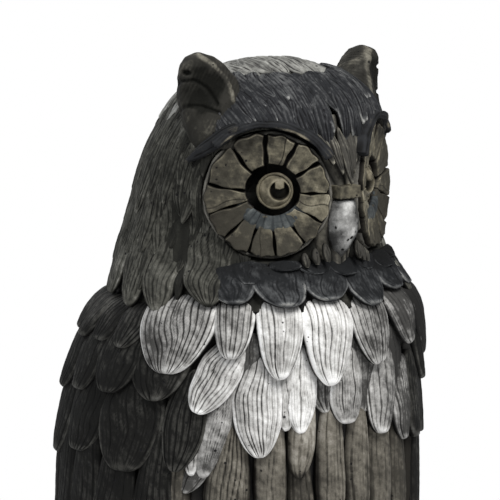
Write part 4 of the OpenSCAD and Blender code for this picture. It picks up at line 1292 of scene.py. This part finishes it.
# The cheeks take little brush and stay darker than the nape: partly dark paint, partly painted
# shade on the cheeks.
for zone in ((-84, -44), (44, 84)):
    comb(cheeks, rng, head, zone, (up_the_side(head, 276), up_the_side(head, 330), 6), 6,
         (30 * MM, 9.5 * MM), 0.20, lift=(0.0, 1.6 * MM), bend=2.4 * MM, **wisp)
press_round_discs(cheeks)
pinch_neck(cheeks)
cheeks.make("cheek_strands_modelled", stone_grey, ["cheek_strands"], "charcoal")

crown_paint = stone_paint("crown_paint", (0.012, 0.012, 0.012), (0.070, 0.070, 0.066),
                          (0.24, 0.24, 0.225), (0.50, 0.50, 0.47), pits=0.3)
rng = np.random.default_rng(114)
crown = Clay()
comb(crown, rng, head, (97, 262), (up_the_side(head, 350), head.length - 24 * MM, 3), 13,
     (30 * MM, 10 * MM), 0.66, lift=(0.0, 1.4 * MM), bend=1.6 * MM, **wisp)


def over_top(core, x, y, off):
    """The place over the top of a casting at x to its left and y behind the middle of its top."""
    a, b, middle, z = core.table[:, core.table[0].argmax():]
    r = np.hypot(x, y * a[-1] / b[-1])
    rise = np.interp(r, a[::-1], z[::-1]) + 0.8 * MM * np.maximum(1 - (r / a[-1]) ** 2, 0)
    fall = (np.interp(r + 1 * MM, a[::-1], z[::-1])
            - np.interp(r - 1 * MM, a[::-1], z[::-1])) / (2 * MM)
    lean = np.arctan(fall) / np.maximum(r, 1 * MM)
    return core.to_world(np.stack([x - x * lean * off, y + middle[-1] - y * lean * off,
                                   rise + off * np.cos(np.arctan(fall))], -1))


for row in range(3):
    for k in rng.permutation(8):
        x = (-28 + 8 * k + rng.uniform(-1.5, 1.5)) * MM
        y = (22 - 14 * row + rng.uniform(-2, 2)) * MM
        length = rng.uniform(22, 28) * MM

        def place(s, u, off, x=x, y=y, length=length):
            return over_top(head, x * (1 + 0.12 * s) + u, y + (s - 0.5) * length, off)

        leaf(crown, rng, place, rng.uniform(9, 12) * MM, length,
             load=0.58 + rng.uniform(-0.08, 0.08), lift=(0.0, 1.2 * MM),
             bow=rng.uniform(-1.2, 1.2) * MM, **wisp)
crown.make("crown_strands_modelled", crown_paint, ["crown_strands"], "black_feather")

slate_paint = stone_paint("slate_paint", (0.003, 0.003, 0.0035), (0.014, 0.015, 0.017),
                          (0.078, 0.080, 0.081), (0.42, 0.42, 0.40), pits=0.6)
rng = np.random.default_rng(115)
forehead = Clay()
comb(forehead, rng, head, (-62, 62), (up_the_side(head, 342), up_the_side(head, 362), 5), 14,
     (24 * MM, 8.0 * MM), 0.40, slant=38, lift=(1.6 * MM, 1.9 * MM), bend=2.4 * MM, spare=14 * MM,
     **{**wisp, "root": 0.6, "score": 0.6 * MM, "crown": 1.1 * MM, "edge_light": 0.3})
press_round_discs(forehead, 31.6 * MM)
forehead.make("forehead_strands_modelled", slate_paint, ["forehead_strands"], "black_feather")


# ==== Ruff ====
# Two rows of short scallops close the gap between the chin and the breast. They were left smooth
# and dark, darker still under the chin as painted shade below the discs, and only their lower rims
# took the brush.


def ruff_load_and_chin_shade(phi, z):
    """Little brushing high under the chin, partly dark paint and partly painted shade below the
    discs; more on the lower scallops' ends, and less towards the owl's left.
    """
    return 0.38 - 0.22 * smooth_step(279, 290, z) - 0.12 * smooth_step(10, 36, phi)


# The ruff's body colour is darker than the slate paint: partly dark paint, partly painted shade
# under the chin.
ruff_paint = stone_paint("ruff_paint", (0.002, 0.002, 0.002), (0.009, 0.0098, 0.011),
                         (0.068, 0.071, 0.074), (0.40, 0.40, 0.38), pits=0.8, grain=1.6)
for course, seed, count, front, up, down in (("ruff_lower", 121, 6, 0.09, 2, 0.5),
                                             ("ruff_upper", 122, 7, 0.22, -6, -1.0)):
    lay_course(course, head, ruff_paint, "black_feather", seed, wide=1.36, count=count, front=front,
               ribs=3, hairs=14, score=0.25 * MM, thick=2.6 * MM,
               lift=(-1.0 * MM, (3.0 if up > 0 else 1.8) * MM), broad=0.4, point=0.5, fine=0.4 * MM,
               root=0.8, rows_up=up * MM, rows_down=down * MM, edge_light=0.4, dark=0.5,
               load_at=ruff_load_and_chin_shade, coarse=0.26 * MM)


# ==== Nose bridge ====
# The wedge between the discs runs from the frown down to the beak. It is scored lengthwise,
# with the lines meeting above the beak.


points, quads, tris, out = softened("nose_bridge", 0.5 * MM, 5)
own = head.to_own(points)
half_width = np.interp(own[:, 2] / MM, [290, 325, 356], [8, 8, 18]) * MM
spread = own[:, 0] / half_width
line = np.abs(np.sin(spread * 5.5 + 0.9 * np.sin(own[:, 2] * 190) + 0.3)) ** 0.7
rough = lumps(points, 6 * MM, 181)
points = points + out * (-0.55 * MM * (1 - line) + 0.3 * MM * rough)[:, None]
bridge = Clay()
bridge.add(points, quads, tris, np.clip(0.85 * line + 0.2 * rough, 0, 1), 0.44)
bridge_paint = stone_paint("bridge_paint", (0.008, 0.008, 0.007), (0.045, 0.043, 0.038),
                           (0.18, 0.17, 0.14), (0.42, 0.40, 0.34), pits=0.35)
bridge.make("nose_bridge_modelled", bridge_paint, ["nose_bridge"], "black_feather")


# ==== Frown strands ====
# Five pointed leaves are pressed over the bridge between the eyes, the longest in the middle,
# all pointing at the beak.


def pointed(clay, rng, part, core_way, wide, clipped=0.0, reach=1.06, **look):
    """Models a leaf along a CAD solid from its top to its foot, facing core_way. clipped is the
    share of its top that is left off, and reach the share of the rest that it covers."""
    order = part[np.argsort(part[:, 2])]
    count = max(4, len(part) // 12)
    foot, top = order[:count].mean(0), order[-count:].mean(0)
    top = top + (foot - top) * clipped
    run = foot - top
    length = np.linalg.norm(run)
    way = run / length
    face_way = core_way - way * (core_way @ way)
    face_way /= np.linalg.norm(face_way)
    side_way = np.cross(face_way, way)
    across = (part - top) @ side_way
    depth = (part - top) @ face_way
    level = (np.percentile(depth, 50) - 0.5 * MM)

    def place(s, u, off):
        swell = 0.06 * length * np.sin(math.pi * s)
        return (top + run * s[..., None] * reach + side_way * u[..., None]
                + face_way * (off + level + swell)[..., None])

    leaf(clay, rng, place, np.ptp(across) * wide, length * reach, **look)


ahead_of_neck, at_neck = head.to_world(np.array([[0.0, -1.0, 0.0], [0.0, 0.0, 0.0]]))
head_front = ahead_of_neck - at_neck
rng = np.random.default_rng(191)
frown = Clay()
for part in loose_parts("frown_strands"):
    pointed(frown, rng, part, head_front + np.array([0, 0, 0.25]), 1.25, 0.24, ribs=4,
            score=0.45 * MM, thick=1.5 * MM, lift=(-1.8 * MM, 0.6 * MM), broad=0.4, point=0.8,
            root=0.12, fine=0.35 * MM, load=rng.uniform(0.2, 0.42), crown=0.8 * MM)
frown.make("frown_strands_modelled", bridge_paint, ["frown_strands"], "black_feather")


# ==== Cere and beak ====
# The cere is a small squared bar across the top of the beak. The beak is an almond of clay,
# keeled in front and brushed silver, and pitted at its lower end where bubbles broke.

points, quads, tris, out = softened("cere", 0.4 * MM, 3)
rough = lumps(points, 5 * MM, 201)
own = head.to_own(points)
own[:, 0] = (own[:, 0] - own[:, 0].mean()) * 0.8 + own[:, 0].mean()
points = head.to_world(own) + out * (0.25 * MM * rough)[:, None]
cere = Clay()
# Downward faces get no brush and show the dark wash: partly unbrushed underside, partly painted
# shade under the bar.
cere.add(points, quads, tris, np.clip(0.75 + 0.3 * rough, 0, 1) * smooth_step(-0.7, 0.1, out[:, 2]),
         0.55)
cere.make("cere_modelled", tile_paint, ["cere"], "bronze_face")

beak_paint = stone_paint("beak_paint", (0.004, 0.004, 0.004), (0.045, 0.045, 0.044),
                         (0.24, 0.24, 0.235), (0.70, 0.70, 0.69), pits=0.5, rough=0.5)
points, quads, tris, out = softened("beak", 0.35 * MM, 5)
own = head.to_own(points)
low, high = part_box("beak")
share = (own[:, 2] - low.z) / (high.z - low.z)
rough = lumps(points, 6 * MM, 203)
sunk, dark = np.zeros(len(points)), np.zeros(len(points))
pit_rng = np.random.default_rng(204)
for _ in range(34):
    spot = points[pit_rng.integers(len(points))]
    height_share = (spot[2] - low.z) / (high.z - low.z)
    if pit_rng.uniform() < 0.15 + 1.1 * max(0.0, 0.62 - height_share) * 1.6:
        size = pit_rng.uniform(0.35, 0.75) * MM
        near = np.linalg.norm(points - spot, axis=1)
        hole = smooth_step(size * 1.25, size * 0.75, near)
        sunk, dark = np.maximum(sunk, hole * size * 1.1), np.maximum(dark, hole)
points = points + out * (0.22 * MM * rough - sunk)[:, None]
beak = Clay()
beak.add(points, quads, tris, np.clip(0.85 + 0.25 * rough, 0, 1.1) * (1 - dark),
         (0.12 + 0.52 * np.exp(-((own[:, 0] + 0.6 * MM) / (4.2 * MM)) ** 2)
          * (0.45 + 0.55 * smooth_step(0.0, 0.45, share))) * (1 - dark))
beak.make("beak_modelled", beak_paint, ["beak"], "silver_feather")


# ==== Chin bristles ====
# Small bristles stand beside and below the beak: short pointed rolls, pressed on one by one.

rng = np.random.default_rng(211)
bristles = Clay()
for part in loose_parts("chin_bristles"):
    pointed(bristles, rng, part, head_front + np.array([0, 0, -0.15]), 1.25, 0.0, 0.7, ribs=3,
            score=0.45 * MM, thick=2.0 * MM, lift=(-1.4 * MM, 1.0 * MM), broad=0.5, point=0.85,
            root=0.25, fine=0.3 * MM, load=0.2, crown=0.6 * MM)
bristles.make("chin_bristles_modelled", bridge_paint, ["chin_bristles"], "taupe_feather")


# ==== Ear tufts ====
# Each ear is a fat horn of clay, hollowed on its outer front. A thumb left a pit and two folds
# in the hollow, and the rim on the crown side was rubbed bright.

ear_paint = stone_paint("ear_paint", (0.004, 0.004, 0.003), (0.022, 0.021, 0.018),
                        (0.125, 0.118, 0.096), (0.36, 0.345, 0.30), pits=0.45)


def near_line(x, y, corners):
    """Distance of points x, y from a bent line through corners, which are in millimetres."""
    line = smoothed_line(np.asarray(corners, float) * MM, 0.4 * MM, 4)
    return np.hypot(x[:, None] - line[None, :, 0], y[:, None] - line[None, :, 1]).min(1)


for side in ("left", "right"):
    points, quads, tris, out = softened(side + "_ear_tuft", 0.55 * MM, 6)
    local = face_local(side, points)
    out_local = out @ face[side]["axes"].T
    x, y = local[:, 0], local[:, 1]
    front = smooth_step(0.0, 0.5, out_local[:, 2])
    rim = near_line(x, y, [(31, 61.5), (25, 58), (18.5, 51), (15.5, 44), (14, 38), (11, 31)])
    fold_1 = near_line(x, y, [(41, 46), (38.5, 50), (33, 50.5), (27, 47), (22, 40)])
    fold_2 = near_line(x, y, [(40, 34), (36, 38.5), (29, 38.5), (21, 36)])
    pit = np.hypot((x - 36.3 * MM) / 1.5, (y - 54 * MM))
    hollow = np.hypot((x - 27 * MM) / (11 * MM), (y - 46 * MM) / (14 * MM))
    sink = 1.8 * MM * smooth_step(1.0, 0.3, hollow)
    sink += (1.0 * MM * smooth_step(1.5 * MM, 0.3 * MM, fold_1)
             + 0.9 * MM * smooth_step(1.4 * MM, 0.3 * MM, fold_2))
    sink += 1.7 * MM * smooth_step(1.7 * MM, 0.5 * MM, pit)
    raised = 0.7 * MM * smooth_step(1.5 * MM, 0.3 * MM, rim)
    combed = (np.sin((x * 0.92 + y * 0.38) / (0.26 * MM) + 3.0 * lumps(points, 14 * MM, 221))
              * smooth_step(0.2, 0.7, 0.5 + 0.5 * lumps(points, 9 * MM, 223)))
    rough = lumps(points, 6 * MM, 222)
    points = points + out * (front * (raised - sink) + 0.10 * MM * combed
                             + 0.3 * MM * rough)[:, None]
    points = points - face[side]["axes"][0] * (1.0 * MM * smooth_step(40 * MM, 57 * MM, y))[:, None]
    forward = 2.2 * MM * smooth_step(-12 * MM, -1 * MM, local[:, 2] - local[:, 2].max())
    points = points + face[side]["axes"][2] * forward[:, None]
    points[:, 2] -= 0.9 * MM * smooth_step(40 * MM, 60 * MM, y)
    marks = 0.55 + 0.25 * rough + 0.08 * combed + 0.4 * front * smooth_step(1.5 * MM, 0.4 * MM, rim)
    # The hollow and its folds darken the deeper they sink: partly wash, partly painted shade in the
    # cup.
    marks -= front * (sink / (1.6 * MM)) * 0.5
    ear = Clay()
    ear.add(points, quads, tris, np.clip(marks, 0, 1.1),
            0.30 + 0.16 * smooth_step(44 * MM, 58 * MM, y))
    ear.make(side + "_ear_tuft_modelled", ear_paint, [side + "_ear_tuft"], "charcoal")


# ==== Studio ====
# A round pale table, white all round, one large soft lamp in front of the owl, and weaker ones
# at its right and behind. The camera looks from the owl's right with a long lens.

table = bpy.data.meshes.new("studio_table")
rings, sides, table_z, table_edge = [0.0005, 0.2, 0.5, 0.76, 0.8], 96, -0.4 * MM, 10 * MM
table_points = [(r * math.cos(t), r * math.sin(t), table_z - table_edge * (r == rings[-1]))
                for r in rings for t in np.linspace(0, math.tau, sides, endpoint=False)]
table_faces = [(i * sides + j, i * sides + (j + 1) % sides, (i + 1) * sides + (j + 1) % sides,
                (i + 1) * sides + j) for i in range(len(rings) - 1) for j in range(sides)]
table.from_pydata(table_points, [], table_faces)
table_cloth = bpy.data.materials.new("studio_table_paint")
table_cloth.use_nodes = True
table_shader = table_cloth.node_tree.nodes["Principled BSDF"]
table_shader.inputs["Roughness"].default_value = 0.9
table_shader.inputs["Base Color"].default_value = (0.80, 0.80, 0.80, 1)
table.materials.append(table_cloth)
table_top = bpy.data.objects.new("studio_table", table)
bpy.context.scene.collection.objects.link(table_top)

studio = bpy.data.worlds.new("studio")
bpy.context.scene.world = studio
studio.use_nodes = True
studio_nodes, studio_links = studio.node_tree.nodes, studio.node_tree.links
studio_nodes.clear()
seen = studio_nodes.new("ShaderNodeLightPath")
white, soft = studio_nodes.new("ShaderNodeBackground"), studio_nodes.new("ShaderNodeBackground")
white.inputs["Strength"].default_value = 1.0
white.inputs["Color"].default_value = (1, 1, 1, 1)
soft.inputs["Strength"].default_value = 0.34
soft.inputs["Color"].default_value = (0.96, 0.98, 1.0, 1)
chosen = studio_nodes.new("ShaderNodeMixShader")
studio_out = studio_nodes.new("ShaderNodeOutputWorld")
studio_links.new(seen.outputs["Is Camera Ray"], chosen.inputs[0])
studio_links.new(soft.outputs[0], chosen.inputs[1])
studio_links.new(white.outputs[0], chosen.inputs[2])
studio_links.new(chosen.outputs[0], studio_out.inputs[0])

aim = Vector((2.6 * MM, -1.5 * MM, 288.2 * MM))


def seen_from(azimuth, elevation):
    """The direction from the figure to a place round it, with azimuth 0 in front of it."""
    a, e = math.radians(azimuth), math.radians(elevation)
    return Vector((math.sin(a) * math.cos(e), -math.cos(a) * math.cos(e), math.sin(e)))


def lamp(name, azimuth, elevation, distance, size, power, colour=(1, 1, 1)):
    """A square soft lamp that looks at the middle of the figure."""
    back = seen_from(azimuth, elevation)
    light = bpy.data.lights.new(name, "AREA")
    light.shape, light.size, light.energy, light.color = "SQUARE", size, power, colour
    made = bpy.data.objects.new(name, light)
    made.location = aim + back * distance
    made.rotation_euler = back.to_track_quat("Z", "Y").to_euler()
    bpy.context.scene.collection.objects.link(made)


lamp("key_lamp", 2, 50, 1.4, 0.6, 27, (1.0, 0.985, 0.96))
lamp("side_lamp", -85, 30, 1.5, 0.8, 7, (0.97, 0.985, 1.0))
lamp("back_lamp", -160, 35, 1.6, 0.9, 9)

lens = bpy.data.cameras.new("portrait_lens")
lens.lens, lens.sensor_width = 300, 36
lens.clip_end = 60
camera = bpy.data.objects.new("portrait_camera", lens)
view_width = 226.5 * MM
back = seen_from(-30, 8)
camera.location = aim + back * (view_width * lens.lens / lens.sensor_width)
camera.rotation_euler = back.to_track_quat("Z", "Y").to_euler()
bpy.context.scene.collection.objects.link(camera)
bpy.context.scene.camera = camera
bpy.context.scene.view_settings.view_transform = "Standard"
